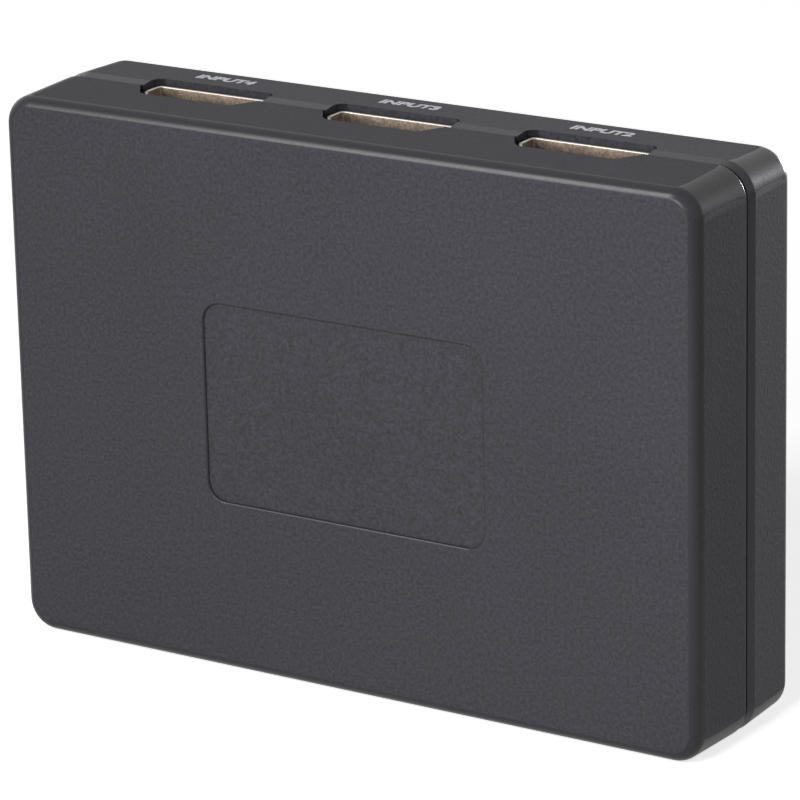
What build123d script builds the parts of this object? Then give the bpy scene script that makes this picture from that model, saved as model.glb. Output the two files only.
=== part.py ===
from build123d import *
import os
from math import radians, tan

# A small switch box with five inputs and one output, standing on a long side.
# X runs along its length, Y from the label face to the button face, Z upwards.
# The origin is under the middle of the box. Lengths are in millimetres, angles in degrees.

# The two casings, measured at the seam between them
box_length = 88.4
box_height = 63.4
label_half_depth = 10.3
cover_half_depth = 9.9
corner_radius = 3.7
edge_radius = 1.4
label_draft = 1.8
cover_draft = 1.6
wall = 1.9
panel = 1.8
seam_gap = 0.45
rim_radius = 0.3
relief_depth = 0.22
relief_width = 1.3
cut_overrun = 1.0

# The lip inside the seam
lip_thickness = 0.95
lip_height = 1.1
lip_clearance = 0.1

# The sunk place on the label face
label_length = 35.7
label_height = 22.7
label_drop = 0.25
label_depth = 0.3
label_corner = 2.2
label_rim = 0.24

# Snap hooks of the upper casing and their pockets in the lower one
hook_width = 4.0
hook_thickness = 1.0
hook_reach = 3.2
hook_clearance = 0.25
hook_root = 2.6
nub_height = 0.9
nub_grip = 0.4
nub_play = 0.05
pocket_depth = 0.7
side_hook_drop = 12.0

# HDMI sockets, mouths outwards, wide side towards the button face
socket_place_share = 0.274
socket_recess = 0.7
socket_offset = -0.15
shell_width = 15.0
shell_height = 5.55
shell_side = 2.9
shell_chamfer = 1.75
shell_corner = 0.7
shell_sheet = 0.4
shell_depth = 11.6
cutout_clearance = 0.45
spring_width = 1.9
spring_length = 5.2
spring_slot = 0.3
spring_spacing = 6.4
spring_setback = 2.6
leg_width = 1.8
leg_stickout = 0.7
front_leg_setback = 3.6
rear_leg_setback = 8.9
leg_clearance = 0.25
insulator_play = 0.04
insulator_depth = 3.6
tongue_width = 11.2
tongue_thickness = 1.3
tongue_recess = 1.4
contact_pitch = 1.0
contact_width = 0.34
contact_thickness = 0.14
contact_setback = 0.7
contact_play = 0.02
contact_tail = 0.35
contact_foot = 0.8
upper_contact_count = 10
lower_contact_count = 9

# Circuit board, its bosses and screws
board_thickness = 1.6
board_clearance = 0.3
board_corner = 2.0
board_notch_clearance = 0.35
boss_inset_x = 6.7
boss_inset_z = 6.7
boss_radius = 2.8
boss_bore_depth = 4.6
screw_shank_radius = 1.1
screw_play = 0.05
screw_hole_radius = 1.4
screw_length = 5.4
screw_head_radius = 2.0
screw_head_height = 1.4
screw_crown = 0.5
recess_width = 0.6
recess_reach = 1.3
recess_depth = 0.8

# Power jack on the short side away from the photographed one
jack_length = 9.0
jack_width = 5.4
jack_height = 5.2
jack_wall_gap = 0.3
jack_collar_radius = 2.4
jack_collar_reach = 1.6
jack_bore_radius = 1.8
jack_bore_depth = 8.0
jack_hole_clearance = 0.3
jack_pin_radius = 0.65
jack_pin_length = 7.0
jack_pin_base = 0.3
jack_spring_width = 1.6
jack_spring_thickness = 0.25
jack_spring_length = 5.6
jack_leg_width = 1.4
jack_leg_thickness = 0.4
jack_leg_spacing = 5.6
jack_leg_stickout = 0.9

# Select button and the switch under it
front_row_share = 0.315
button_end_margin = 13.2
button_radius = 4.0
button_proud = 0.6
button_play = 0.2
button_round = 0.5
button_dish_radius = 12.0
button_dish = 0.25
button_flange_radius = 4.8
button_flange = 0.8
button_flange_gap = 0.15
button_stem_radius = 1.9
guide_radius = 5.1
guide_wall = 1.0
guide_length = 2.2
switch_size = 6.0
switch_base_height = 2.6
switch_plate = 0.3
switch_corner = 0.6
switch_height = 7.0
switch_well_radius = 1.9
switch_well_depth = 1.1
plunger_radius = 1.7
plunger_play = 0.08
plunger_drop = 0.5
dome_thickness = 0.15
terminal_width = 0.7
terminal_thickness = 0.3
terminal_spacing = 4.5
terminal_stickout = 0.9
terminal_play = 0.2

# Indicator lamps
lamp_count = 5
lamp_row_gap = 15.0
lamp_radius = 1.5
lamp_length = 5.2
lamp_flange_radius = 1.9
lamp_flange = 0.9
lamp_proud = 0.3
lamp_play = 0.1
lead_size = 0.5
lead_pitch = 2.54
lead_stickout = 0.9
lead_play = 0.2

# Infrared receiver and its window
window_end_margin = 13.2
window_length = 8.4
window_width = 4.6
window_play = 0.06
window_sink = 0.1
window_flange_margin = 0.9
window_flange = 0.8
receiver_width = 5.0
receiver_height = 6.0
receiver_depth = 2.9
receiver_lens_radius = 2.1
receiver_lens_proud = 1.3
receiver_gap = 0.3
receiver_lead_reach = 1.2

# Chips and small parts on the board
chip_clear = 0.12
lead_foot = 0.5
switch_chip_size = 10.0
switch_chip_height = 1.4
switch_chip_lead_count = 16
switch_chip_pitch = 0.5
fine_lead_width = 0.22
fine_lead_thickness = 0.13
fine_lead_reach = 1.0
controller_length = 8.6
controller_width = 3.9
controller_height = 1.5
controller_lead_count = 7
controller_pitch = 1.27
coarse_lead_width = 0.42
coarse_lead_thickness = 0.2
coarse_lead_reach = 1.05
regulator_length = 6.5
regulator_width = 3.5
regulator_height = 1.6
regulator_lead_count = 3
regulator_pitch = 2.3
regulator_lead_width = 0.7
regulator_tab_width = 3.0
pin_mark_radius = 0.45
pin_mark_depth = 0.1
pin_mark_inset = 1.1
crystal_length = 11.0
crystal_width = 4.4
crystal_height = 3.4
crystal_base = 0.5
crystal_rim = 0.3
can_radius = 2.5
can_height = 5.2
can_base = 0.8
can_base_size = 5.3
can_base_corner = 1.0
can_round = 0.35
can_score = 0.2
small_part_length = 1.6
small_part_width = 0.8
small_part_height = 0.5
small_part_cap = 0.3
protector_length = 2.5
protector_width = 1.0
protector_height = 0.5

# Places on the board, as shares of its length and height from its middle
switch_chip_place_shares = (0.03, -0.06)
controller_place_shares = (0.27, -0.09)
regulator_place_shares = (-0.24, -0.10)
crystal_place_shares = (0.27, 0.04)
can_place_shares = ((-0.33, -0.18), (-0.15, 0.01))
capacitor_place_shares = (
    (-0.07, -0.20), (-0.03, -0.20), (0.02, -0.20), (0.07, -0.20), (0.12, -0.20),
    (-0.09, -0.11), (-0.09, -0.05), (-0.09, 0.01), (0.15, -0.12), (0.15, -0.02),
)
resistor_place_shares = (
    (0.21, 0.13), (0.25, 0.13), (-0.21, 0.13), (-0.17, 0.24), (-0.08, 0.24),
    (0.01, 0.24), (0.10, 0.24), (0.20, 0.24), (0.35, -0.18), (0.39, -0.10),
    (0.39, 0.00), (-0.32, -0.01),
)

# Planes and places that several pieces share
box_depth = label_half_depth + cover_half_depth + button_proud
seam_y = label_half_depth - box_depth / 2
mid_z = box_height / 2
lower_rim_y = seam_y - seam_gap / 2
upper_rim_y = seam_y + seam_gap / 2
label_face_y = seam_y - label_half_depth
floor_y = label_face_y + panel
button_face_y = seam_y + cover_half_depth
ceiling_y = button_face_y - panel
lip_top_y = lower_rim_y + seam_gap + lip_height
socket_y = seam_y + socket_offset
socket_pitch = socket_place_share * box_length
board_top_y = socket_y - shell_height / 2
board_back_y = board_top_y - board_thickness
front_row_z = mid_z + front_row_share * box_height / 2
button_x = button_end_margin - box_length / 2
window_x = box_length / 2 - window_end_margin
board_margin = wall + board_clearance + (seam_y - board_back_y) * tan(radians(label_draft))
board_length = box_length - 2 * board_margin
board_height = box_height - 2 * board_margin
boss_x = box_length / 2 - boss_inset_x
boss_z = box_height / 2 - boss_inset_z
boss_places = [(side_x * boss_x, mid_z + side_z * boss_z) for side_x in (-1, 1) for side_z in (-1, 1)]
jack_z = mid_z
jack_y = board_top_y + jack_height / 2
jack_front_x = -box_length / 2 + wall + jack_wall_gap
switch_top_y = board_top_y + switch_height
lamp_pitch = (window_x - button_x - 2 * lamp_row_gap) / (lamp_count - 1)
lamp_row_x = (button_x + window_x) / 2
lamp_places = [
    (lamp_row_x + lamp_pitch * (step - (lamp_count - 1) / 2), front_row_z) for step in range(lamp_count)
]
lamp_top_y = button_face_y + lamp_proud
lamp_base_y = lamp_top_y - lamp_length


def spread(middle, width):
    """The low and high end of a width centred on a place."""
    return (middle - width / 2, middle + width / 2)


def block(x_ends, y_ends, z_ends):
    """A box between its low and high ends on each axis."""
    ends = (x_ends, y_ends, z_ends)
    size = [high - low for low, high in ends]
    middle = [(low + high) / 2 for low, high in ends]
    return Pos(*middle) * Box(*size)


def upright(radius, x, z, low_y, high_y):
    """A round bar along Y."""
    return Pos(x, (low_y + high_y) / 2, z) * Rot(90, 0, 0) * Cylinder(radius, high_y - low_y)


def face_plane(y, toward):
    """A plane across the box at y, facing +Y or -Y."""
    return Plane(origin=(0, y, mid_z), x_dir=(1, 0, 0), z_dir=(0, toward, 0))


def rounded_plate(length, height, radius, start_y, depth, toward, draft=0):
    """A round-cornered plate that starts at a plane and grows towards +Y or -Y."""
    outline = face_plane(start_y, toward) * RectangleRounded(length, height, radius)
    return extrude(outline, amount=depth, taper=draft)


def relief_band(start_y, toward):
    """The shallow slope that leads from a rim to the full outline."""
    rim = RectangleRounded(
        box_length - 2 * relief_depth, box_height - 2 * relief_depth, corner_radius - relief_depth
    )
    full = RectangleRounded(box_length, box_height, corner_radius)
    sections = [face_plane(start_y, toward) * rim, face_plane(start_y + toward * relief_width, toward) * full]
    return loft(sections, ruled=True)


def seam_ring(inset_outside, inset_inside, low_y, high_y):
    """A ring inside the seam, between two insets from the outline."""
    def plate(inset, start_y, end_y):
        return rounded_plate(
            box_length - 2 * inset, box_height - 2 * inset, corner_radius - inset, start_y, end_y - start_y, 1
        )
    return plate(inset_outside, low_y, high_y) - plate(
        inset_inside, low_y - cut_overrun, high_y + cut_overrun
    )


def shell_outline(grow=0):
    """The section of a socket shell, wide side up, grown or shrunk by an offset."""
    half_width = shell_width / 2
    half_height = shell_height / 2
    side_end = half_height - shell_side
    foot = half_width - shell_chamfer
    corners = [
        (-half_width, half_height), (half_width, half_height), (half_width, side_end),
        (foot, -half_height), (-foot, -half_height), (-half_width, side_end),
    ]
    outline = make_face(Polyline(*corners, close=True))
    outline = fillet(outline.vertices(), shell_corner)
    return offset(outline, amount=grow) if grow else outline


def socket_frame(x, side):
    """A frame at a socket's mouth: X across, Y towards the button face, Z outwards."""
    if side == "top":
        return Pos(x, socket_y, box_height - socket_recess)
    return Pos(x, socket_y, socket_recess) * Rot(0, 180, 0)


# Each socket's name, its place along the box and the long wall that it opens through
sockets = [
    ("input_4", -socket_pitch, "top"),
    ("input_3", 0, "top"),
    ("input_2", socket_pitch, "top"),
    ("input_5", -socket_pitch, "bottom"),
    ("output", 0, "bottom"),
    ("input_1", socket_pitch, "bottom"),
]


def socket_cutouts():
    """The holes in the long walls around every socket."""
    hole = extrude(shell_outline(cutout_clearance), amount=wall + socket_recess + cut_overrun, both=True)
    return [socket_frame(x, side) * hole for _, x, side in sockets]


def jack_cutout():
    """The round hole in the short wall in front of the power jack."""
    radius = jack_collar_radius + jack_hole_clearance
    length = 2 * (wall + cut_overrun)
    return Pos(-box_length / 2, jack_y, jack_z) * Rot(0, 90, 0) * Cylinder(radius, length)


def hook_places():
    """Where the snap hooks stand: a frame on the outline of each wall, X along it and Z outwards."""
    half_length = box_length / 2
    half_height = box_height / 2
    places = []
    for x in (-socket_pitch / 2, socket_pitch / 2):
        places.append(Pos(x, 0, mid_z + half_height))
        places.append(Pos(x, 0, mid_z - half_height) * Rot(0, 180, 0))
    for side in (-1, 1):
        places.append(Pos(side * half_length, 0, mid_z - side_hook_drop) * Rot(0, side * 90, 0))
    return places


def hook_nub_y():
    """The low and high end of a hook's nub."""
    low = seam_y - hook_reach
    return (low, low + nub_height)


def snap_hook():
    """One hook in its wall's frame: a root on the upper casing, a leaf and a nub."""
    outer = -(wall + hook_clearance)
    inner = outer - hook_thickness
    root_low = lip_top_y + lip_clearance
    across = spread(0, hook_width)
    root = block(across, (root_low, root_low + hook_root), (inner, -wall + lip_clearance))
    leaf = block(across, (hook_nub_y()[0], root_low + hook_root), (inner, outer))
    nub = block(across, hook_nub_y(), (outer - hook_clearance, outer + hook_clearance + nub_grip))
    nub = chamfer(nub.edges().filter_by(Axis.X).group_by(Axis.Y)[0].sort_by(Axis.Z)[-1], nub_grip)
    return root + leaf + nub


def hook_pocket():
    """The pocket that a hook's nub snaps into, in its wall's frame."""
    low, high = hook_nub_y()
    across = spread(0, hook_width + 2 * hook_clearance)
    return block(across, (low - hook_clearance, high + nub_play), (-wall - pocket_depth, -wall + pocket_depth))


def lower_casing():
    """The label-side half: tray, lip, bosses, pockets and label recess."""
    depth = lower_rim_y - label_face_y
    shell = rounded_plate(box_length, box_height, corner_radius, lower_rim_y, depth, -1, label_draft)
    shell = fillet(shell.edges().group_by(Axis.Y)[0], edge_radius)
    shell = fillet(shell.edges().group_by(Axis.Y)[-1], rim_radius)
    inside = rounded_plate(
        box_length - 2 * wall, box_height - 2 * wall, corner_radius - wall,
        lower_rim_y, lower_rim_y - floor_y, -1, label_draft,
    )
    shell = shell - inside
    shell = shell + seam_ring(wall - lip_thickness, wall, lower_rim_y - rim_radius, lip_top_y)
    for x, z in boss_places:
        boss = upright(boss_radius, x, z, floor_y - panel / 2, board_back_y)
        bore = upright(screw_shank_radius + screw_play, x, z, board_back_y - boss_bore_depth, board_back_y)
        shell = shell + boss - bore
    recess = Pos(0, 0, -label_drop) * rounded_plate(
        label_length, label_height, label_corner, label_face_y + label_depth, label_depth + cut_overrun, -1
    )
    shell = shell - recess
    across = spread(0, label_length + label_rim)
    upwards = spread(mid_z - label_drop, label_height + label_rim)
    rim = shell.edges().group_by(Axis.Y)[0].filter_by_position(Axis.X, *across)
    shell = fillet(rim.filter_by_position(Axis.Z, *upwards), label_rim)
    for place in hook_places():
        shell = shell - place * hook_pocket()
    return shell - socket_cutouts() - jack_cutout()


def window_outline(grow=0):
    """The rounded outline of the infrared window, grown by an offset."""
    return SlotOverall(window_length + 2 * grow, window_width + 2 * grow)


def window_plate(grow, low_y, high_y):
    """A plate of the infrared window's outline between two heights."""
    return Pos(window_x, 0, front_row_z - mid_z) * extrude(
        face_plane(low_y, 1) * window_outline(grow), amount=high_y - low_y
    )


def upper_casing():
    """The button-side half: shell, rebate for the lip, hooks, and holes in its face."""
    slope_y = upper_rim_y + relief_width
    shell = relief_band(upper_rim_y, 1) + rounded_plate(
        box_length, box_height, corner_radius, slope_y, button_face_y - slope_y, 1, cover_draft
    )
    shell = fillet(shell.edges().group_by(Axis.Y)[-1], edge_radius)
    inside = rounded_plate(
        box_length - 2 * wall, box_height - 2 * wall, corner_radius - wall,
        upper_rim_y, ceiling_y - upper_rim_y, 1, cover_draft,
    )
    rebate = seam_ring(
        wall - lip_thickness - lip_clearance, wall + lip_thickness, upper_rim_y - cut_overrun, lip_top_y
    )
    shell = shell - inside - rebate
    for place in hook_places():
        shell = shell + place * snap_hook()
    guide_low = ceiling_y - guide_length
    guide = upright(guide_radius + guide_wall, button_x, front_row_z, guide_low, ceiling_y + panel / 2)
    guide = guide - upright(guide_radius, button_x, front_row_z, guide_low - cut_overrun, ceiling_y)
    shell = shell + guide
    high_y = button_face_y + cut_overrun
    shell = shell - upright(button_radius + button_play, button_x, front_row_z, guide_low, high_y)
    for x, z in lamp_places:
        shell = shell - upright(lamp_radius + lamp_play, x, z, ceiling_y - cut_overrun, high_y)
    shell = shell - window_plate(window_play, ceiling_y - cut_overrun, high_y)
    return shell - socket_cutouts() - jack_cutout()


def leg_setbacks():
    """How far behind a socket's mouth its front and rear legs stand."""
    return (front_leg_setback, rear_leg_setback)


def leg_holes(frame):
    """The slots in the board for one socket's legs."""
    holes = []
    for setback in leg_setbacks():
        for side in (-1, 1):
            middle = side * (shell_width - shell_sheet) / 2
            low = -shell_height / 2 - board_thickness - cut_overrun
            holes.append(frame * block(
                spread(middle, shell_sheet + 2 * leg_clearance), (low, 0),
                spread(-setback, leg_width + 2 * leg_clearance),
            ))
    return holes


def lamp_lead_places():
    """The two lead places of every indicator lamp."""
    return [(x + side * lead_pitch / 2, z) for x, z in lamp_places for side in (-1, 1)]


def receiver_lead_places():
    """The three lead places of the infrared receiver on the board."""
    z = front_row_z - receiver_height / 2 - receiver_lead_reach
    return [(window_x + lead_pitch * step, z) for step in (-1, 0, 1)]


def terminal_places():
    """The four terminal places of the select switch."""
    across = switch_size / 2 + terminal_thickness / 2
    return [
        (button_x + side * across, front_row_z + end * terminal_spacing / 2)
        for side in (-1, 1) for end in (-1, 1)
    ]


def jack_leg_places():
    """The places of the power jack's legs, one behind the other."""
    first_x = jack_front_x + (jack_length - jack_leg_spacing) / 2
    return [(first_x, jack_z), (first_x + jack_leg_spacing, jack_z)]


def board_hole(x, z, width, height):
    """A square hole through the board."""
    ends = (board_back_y - cut_overrun, board_top_y + cut_overrun)
    return block(spread(x, width), ends, spread(z, height))


def circuit_board():
    """The board with its screw holes, hook notches and holes for legs and leads."""
    board = rounded_plate(board_length, board_height, board_corner, board_back_y, board_thickness, 1)
    holes = [upright(screw_hole_radius, x, z, board_back_y - cut_overrun, board_top_y + cut_overrun)
             for x, z in boss_places]
    notch_depth = wall + hook_clearance + hook_thickness + board_notch_clearance
    for place in hook_places():
        holes.append(place * block(
            spread(0, hook_width + 2 * board_notch_clearance),
            (board_back_y - cut_overrun, board_top_y + cut_overrun), (-notch_depth, cut_overrun),
        ))
    for _, x, side in sockets:
        holes += leg_holes(socket_frame(x, side))
    hole = lead_size + 2 * lead_play
    holes += [board_hole(x, z, hole, hole) for x, z in lamp_lead_places() + receiver_lead_places()]
    across = terminal_thickness + 2 * terminal_play
    along = terminal_width + 2 * terminal_play
    holes += [board_hole(x, z, across, along) for x, z in terminal_places()]
    across = jack_leg_thickness + 2 * leg_clearance
    along = jack_leg_width + 2 * leg_clearance
    holes += [board_hole(x, z, across, along) for x, z in jack_leg_places()]
    return board - holes


def board_screw():
    """A pan-head screw along +Y, its head's seat at zero."""
    shank = upright(screw_shank_radius, 0, 0, -screw_length, 0)
    head = upright(screw_head_radius, 0, 0, 0, screw_head_height)
    head = fillet(head.edges().group_by(Axis.Y)[-1], screw_crown)
    depth = (screw_head_height - recess_depth, screw_head_height + cut_overrun)
    arm = spread(0, 2 * recess_reach)
    slot = spread(0, recess_width)
    return shank + head - block(arm, depth, slot) - block(slot, depth, arm)


def board_screws():
    """The four screws that hold the board on its bosses."""
    return [Pos(x, board_top_y, z) * board_screw() for x, z in boss_places]


def spring_slots(y_ends):
    """The slots that free two spring tongues in a shell's wide or narrow side."""
    slots = []
    back = -spring_setback - spring_length
    for side in (-1, 1):
        middle = side * spring_spacing / 2
        for edge in (-1, 1):
            slots.append(block(
                spread(middle + edge * spring_width / 2, spring_slot), y_ends, (back, -spring_setback)
            ))
        slots.append(block(
            spread(middle, spring_width + spring_slot), y_ends,
            (-spring_setback - spring_slot, -spring_setback),
        ))
    return slots


def socket_shell():
    """A socket's folded metal shell with its spring tongues and four legs."""
    shell = extrude(shell_outline(), amount=-shell_depth)
    bore = Pos(0, 0, cut_overrun) * extrude(
        shell_outline(-shell_sheet), amount=-shell_depth - 2 * cut_overrun
    )
    shell = shell - bore
    half = shell_height / 2
    shell = shell - spring_slots((half - 2 * shell_sheet, half + cut_overrun))
    for setback in leg_setbacks():
        for side in (-1, 1):
            middle = side * (shell_width - shell_sheet) / 2
            leg_ends = (-half - board_thickness - leg_stickout, half - shell_side)
            shell = shell + block(spread(middle, shell_sheet), leg_ends, spread(-setback, leg_width))
    return shell


def contact_rows():
    """Each contact's place across the tongue and its row, 1 above and -1 below."""
    rows = []
    for row, count in ((1, upper_contact_count), (-1, lower_contact_count)):
        rows += [(contact_pitch * (step - (count - 1) / 2), row) for step in range(count)]
    return rows


def contact_level(row):
    """The low and high end of a contact on its face of the tongue."""
    face = row * tongue_thickness / 2
    return tuple(sorted((face, face + row * contact_thickness)))


def socket_insulator():
    """The insulator behind the shell's mouth with the tongue that carries the contacts."""
    back = extrude(shell_outline(-shell_sheet - insulator_play), amount=insulator_depth)
    insulator = Pos(0, 0, -shell_depth) * back
    tongue = block(
        spread(0, tongue_width), spread(0, tongue_thickness), (-shell_depth, -tongue_recess)
    )
    insulator = insulator + tongue
    slots = []
    for x, row in contact_rows():
        low, high = contact_level(row)
        slots.append(block(
            spread(x, contact_width + 2 * contact_play), (low - contact_play, high + contact_play),
            (-shell_depth - cut_overrun, -shell_depth + insulator_depth),
        ))
    return insulator - slots


def socket_contacts():
    """The nineteen contacts: a blade on the tongue, a drop behind it and a foot on the board."""
    contacts = []
    foot_y = -shell_height / 2
    drop_z = -shell_depth - contact_tail
    for x, row in contact_rows():
        across = spread(x, contact_width)
        low, high = contact_level(row)
        blade = block(across, (low, high), (drop_z, -tongue_recess - contact_setback))
        drop = block(across, (foot_y, high), (drop_z - contact_thickness, drop_z))
        foot = block(across, (foot_y, foot_y + contact_thickness), (drop_z - contact_foot, drop_z))
        contacts.append(blade + drop + foot)
    return contacts


def jack_frame():
    """A frame on the board's face at the power jack's front, X inwards and Z away from the board."""
    return Pos(jack_front_x, board_top_y, jack_z) * Rot(-90, 0, 0)


def jack_housing():
    """The power jack's moulded body: block, collar, bore and a slot for its spring."""
    body = block((0, jack_length), spread(0, jack_width), (0, jack_height))
    axis_height = jack_height / 2
    collar_length = jack_collar_reach + jack_collar_radius
    collar = Rot(0, 90, 0) * Cylinder(jack_collar_radius, collar_length)
    body = body + Pos(collar_length / 2 - jack_collar_reach, 0, axis_height) * collar
    bore = Rot(0, 90, 0) * Cylinder(jack_bore_radius, jack_bore_depth + cut_overrun)
    bore_middle = (jack_bore_depth - cut_overrun) / 2 - jack_collar_reach
    body = body - Pos(bore_middle, 0, axis_height) * bore
    spring_end = jack_bore_depth - jack_collar_reach
    slot = block(
        (spring_end - jack_spring_length, spring_end), spread(0, jack_spring_width + 2 * lead_play),
        (axis_height, jack_height + cut_overrun),
    )
    return jack_frame() * (body - slot)


def jack_pin():
    """The power jack's centre pin, its tip rounded."""
    base_x = jack_bore_depth - jack_collar_reach
    pin = Rot(0, 90, 0) * Cylinder(jack_pin_radius, jack_pin_length)
    pin = fillet(pin.edges().group_by(Axis.X)[0], jack_pin_radius / 2)
    return jack_frame() * (Pos(base_x - jack_pin_length / 2, 0, jack_height / 2) * pin)


def jack_spring():
    """The power jack's outer contact, lying in its slot above the bore."""
    end_x = jack_bore_depth - jack_collar_reach
    low = jack_height / 2 + jack_bore_radius
    spring = block(
        (end_x - jack_spring_length, end_x), spread(0, jack_spring_width),
        (low, low + jack_spring_thickness),
    )
    return jack_frame() * spring


def jack_legs():
    """The power jack's two legs, which run from its underside through the board."""
    return [
        block(
            spread(x, jack_leg_thickness),
            (board_back_y - jack_leg_stickout, board_top_y), spread(z, jack_leg_width),
        )
        for x, z in jack_leg_places()
    ]


def switch_frame():
    """A frame on the board's face at the select switch, Z away from the board."""
    return Pos(button_x, board_top_y, front_row_z) * Rot(-90, 0, 0)


def switch_base():
    """The select switch's moulded base with its well."""
    height = switch_base_height
    base = Pos(0, 0, height / 2) * Box(switch_size, switch_size, height)
    base = chamfer(base.edges().filter_by(Axis.Z), switch_corner)
    well = Cylinder(switch_well_radius, switch_well_depth + cut_overrun)
    return switch_frame() * (base - Pos(0, 0, height + (cut_overrun - switch_well_depth) / 2) * well)


def switch_plate_piece():
    """The metal plate on top of the switch's base, with a hole for the plunger."""
    height = switch_base_height + switch_plate / 2
    plate = Pos(0, 0, height) * Box(switch_size, switch_size, switch_plate)
    plate = chamfer(plate.edges().filter_by(Axis.Z), switch_corner)
    hole = Cylinder(plunger_radius + plunger_play, switch_plate + 2 * cut_overrun)
    return switch_frame() * (plate - Pos(0, 0, height) * hole)


def switch_dome():
    """The snap dome on the floor of the switch's well."""
    low = switch_base_height - switch_well_depth
    radius = switch_well_radius - plunger_play
    return switch_frame() * (Pos(0, 0, low + dome_thickness / 2) * Cylinder(radius, dome_thickness))


def switch_plunger():
    """The select switch's plunger, from inside the well to its top."""
    low = switch_base_height - plunger_drop
    plunger = Cylinder(plunger_radius, switch_height - low)
    return switch_frame() * (Pos(0, 0, (switch_height + low) / 2) * plunger)


def switch_terminals():
    """The select switch's four terminals, from beside its base through the board."""
    return [
        block(
            spread(x, terminal_thickness),
            (board_back_y - terminal_stickout, board_top_y + switch_base_height / 2),
            spread(z, terminal_width),
        )
        for x, z in terminal_places()
    ]


def select_button():
    """The button cap: dished head, flange under the face and a stem on the plunger."""
    flange_top = ceiling_y - button_flange_gap
    flange_low = flange_top - button_flange
    top_y = button_face_y + button_proud
    head = upright(button_radius, 0, 0, flange_low, top_y)
    head = fillet(head.edges().group_by(Axis.Y)[-1], button_round)
    dish = Pos(0, top_y + button_dish_radius - button_dish, 0) * Sphere(button_dish_radius)
    head = head - dish + upright(button_flange_radius, 0, 0, flange_low, flange_top)
    stem = upright(button_stem_radius, 0, 0, switch_top_y, flange_low)
    return Pos(button_x, 0, front_row_z) * (head + stem)


def indicator_lamp(x, z):
    """One lamp: flanged body with a domed top."""
    body = upright(lamp_radius, x, z, lamp_base_y, lamp_top_y - lamp_radius)
    dome = Pos(x, lamp_top_y - lamp_radius, z) * Sphere(lamp_radius)
    flange = upright(lamp_flange_radius, x, z, lamp_base_y, lamp_base_y + lamp_flange)
    return body + dome + flange


def lamp_leads():
    """The leads of all the lamps, from their flanges through the board."""
    ends = (board_back_y - lead_stickout, lamp_base_y)
    return [block(spread(x, lead_size), ends, spread(z, lead_size)) for x, z in lamp_lead_places()]


def infrared_window():
    """The window in the button face, with a flange behind it."""
    pane = window_plate(0, ceiling_y, button_face_y - window_sink)
    return pane + window_plate(window_flange_margin, ceiling_y - window_flange, ceiling_y)


def receiver_y():
    """The low and high end of the infrared receiver's block."""
    high = ceiling_y - window_flange - receiver_gap - receiver_lens_proud
    return (high - receiver_depth, high)


def infrared_receiver():
    """The receiver's block with its lens under the window."""
    low, high = receiver_y()
    body = block(spread(window_x, receiver_width), (low, high), spread(front_row_z, receiver_height))
    centre_y = high + receiver_lens_proud - receiver_lens_radius
    lens = Pos(window_x, centre_y, front_row_z) * Sphere(receiver_lens_radius)
    lens = lens & block(
        spread(window_x, receiver_width), (low + receiver_depth / 2, high + receiver_lens_radius),
        spread(front_row_z, receiver_height),
    )
    return body + lens


def receiver_leads():
    """The receiver's three leads: out of its end, then down through the board."""
    low, high = receiver_y()
    level = (low + high) / 2
    body_end = front_row_z - receiver_height / 2
    leads = []
    for x, z in receiver_lead_places():
        across = spread(x, lead_size)
        out = block(across, spread(level, lead_size), (z - lead_size / 2, body_end))
        down = block(
            across, (board_back_y - lead_stickout, level + lead_size / 2), spread(z, lead_size)
        )
        leads.append(out + down)
    return leads


def on_board(place_share):
    """A frame on the board's face, Z away from it, at a share of its size from its middle."""
    share_x, share_z = place_share
    x = share_x * board_length
    z = mid_z + share_z * board_height
    return Pos(x, board_top_y, z) * Rot(-90, 0, 0)


def chip_body(length, width, height):
    """A chip's moulded body with a pin mark, just clear of the board."""
    body = Pos(0, 0, chip_clear + height / 2) * Box(length, width, height)
    mark = Cylinder(pin_mark_radius, 2 * pin_mark_depth)
    return body - Pos(pin_mark_inset - length / 2, pin_mark_inset - width / 2, chip_clear + height) * mark


def chip_lead(edge, level, reach, width, thickness):
    """One bent lead that leaves a body's side at an edge and ends in a foot on the board."""
    across = spread(0, width)
    drop_x = edge + reach - lead_foot
    shoulder = block((edge, drop_x), across, spread(level, thickness))
    drop = block((drop_x - thickness, drop_x), across, (0, level + thickness / 2))
    foot = block((drop_x - thickness, edge + reach), across, (0, thickness))
    return shoulder + drop + foot


def lead_row(lead, count, pitch):
    """Copies of a lead along a side, centred on it."""
    return [Pos(0, pitch * (step - (count - 1) / 2), 0) * lead for step in range(count)]


def switch_chip_lead_set():
    """The leads on all four sides of the switch chip."""
    level = chip_clear + switch_chip_height / 2
    lead = chip_lead(
        switch_chip_size / 2, level, fine_lead_reach, fine_lead_width, fine_lead_thickness
    )
    row = lead_row(lead, switch_chip_lead_count, switch_chip_pitch)
    frame = on_board(switch_chip_place_shares)
    return [frame * Rot(0, 0, turn) * one for turn in (0, 90, 180, 270) for one in row]


def controller_lead_set():
    """The leads on the two long sides of the controller."""
    level = chip_clear + controller_height / 2
    lead = chip_lead(
        controller_width / 2, level, coarse_lead_reach, coarse_lead_width, coarse_lead_thickness
    )
    row = lead_row(lead, controller_lead_count, controller_pitch)
    frame = on_board(controller_place_shares)
    return [frame * Rot(0, 0, turn) * one for turn in (90, 270) for one in row]


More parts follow.
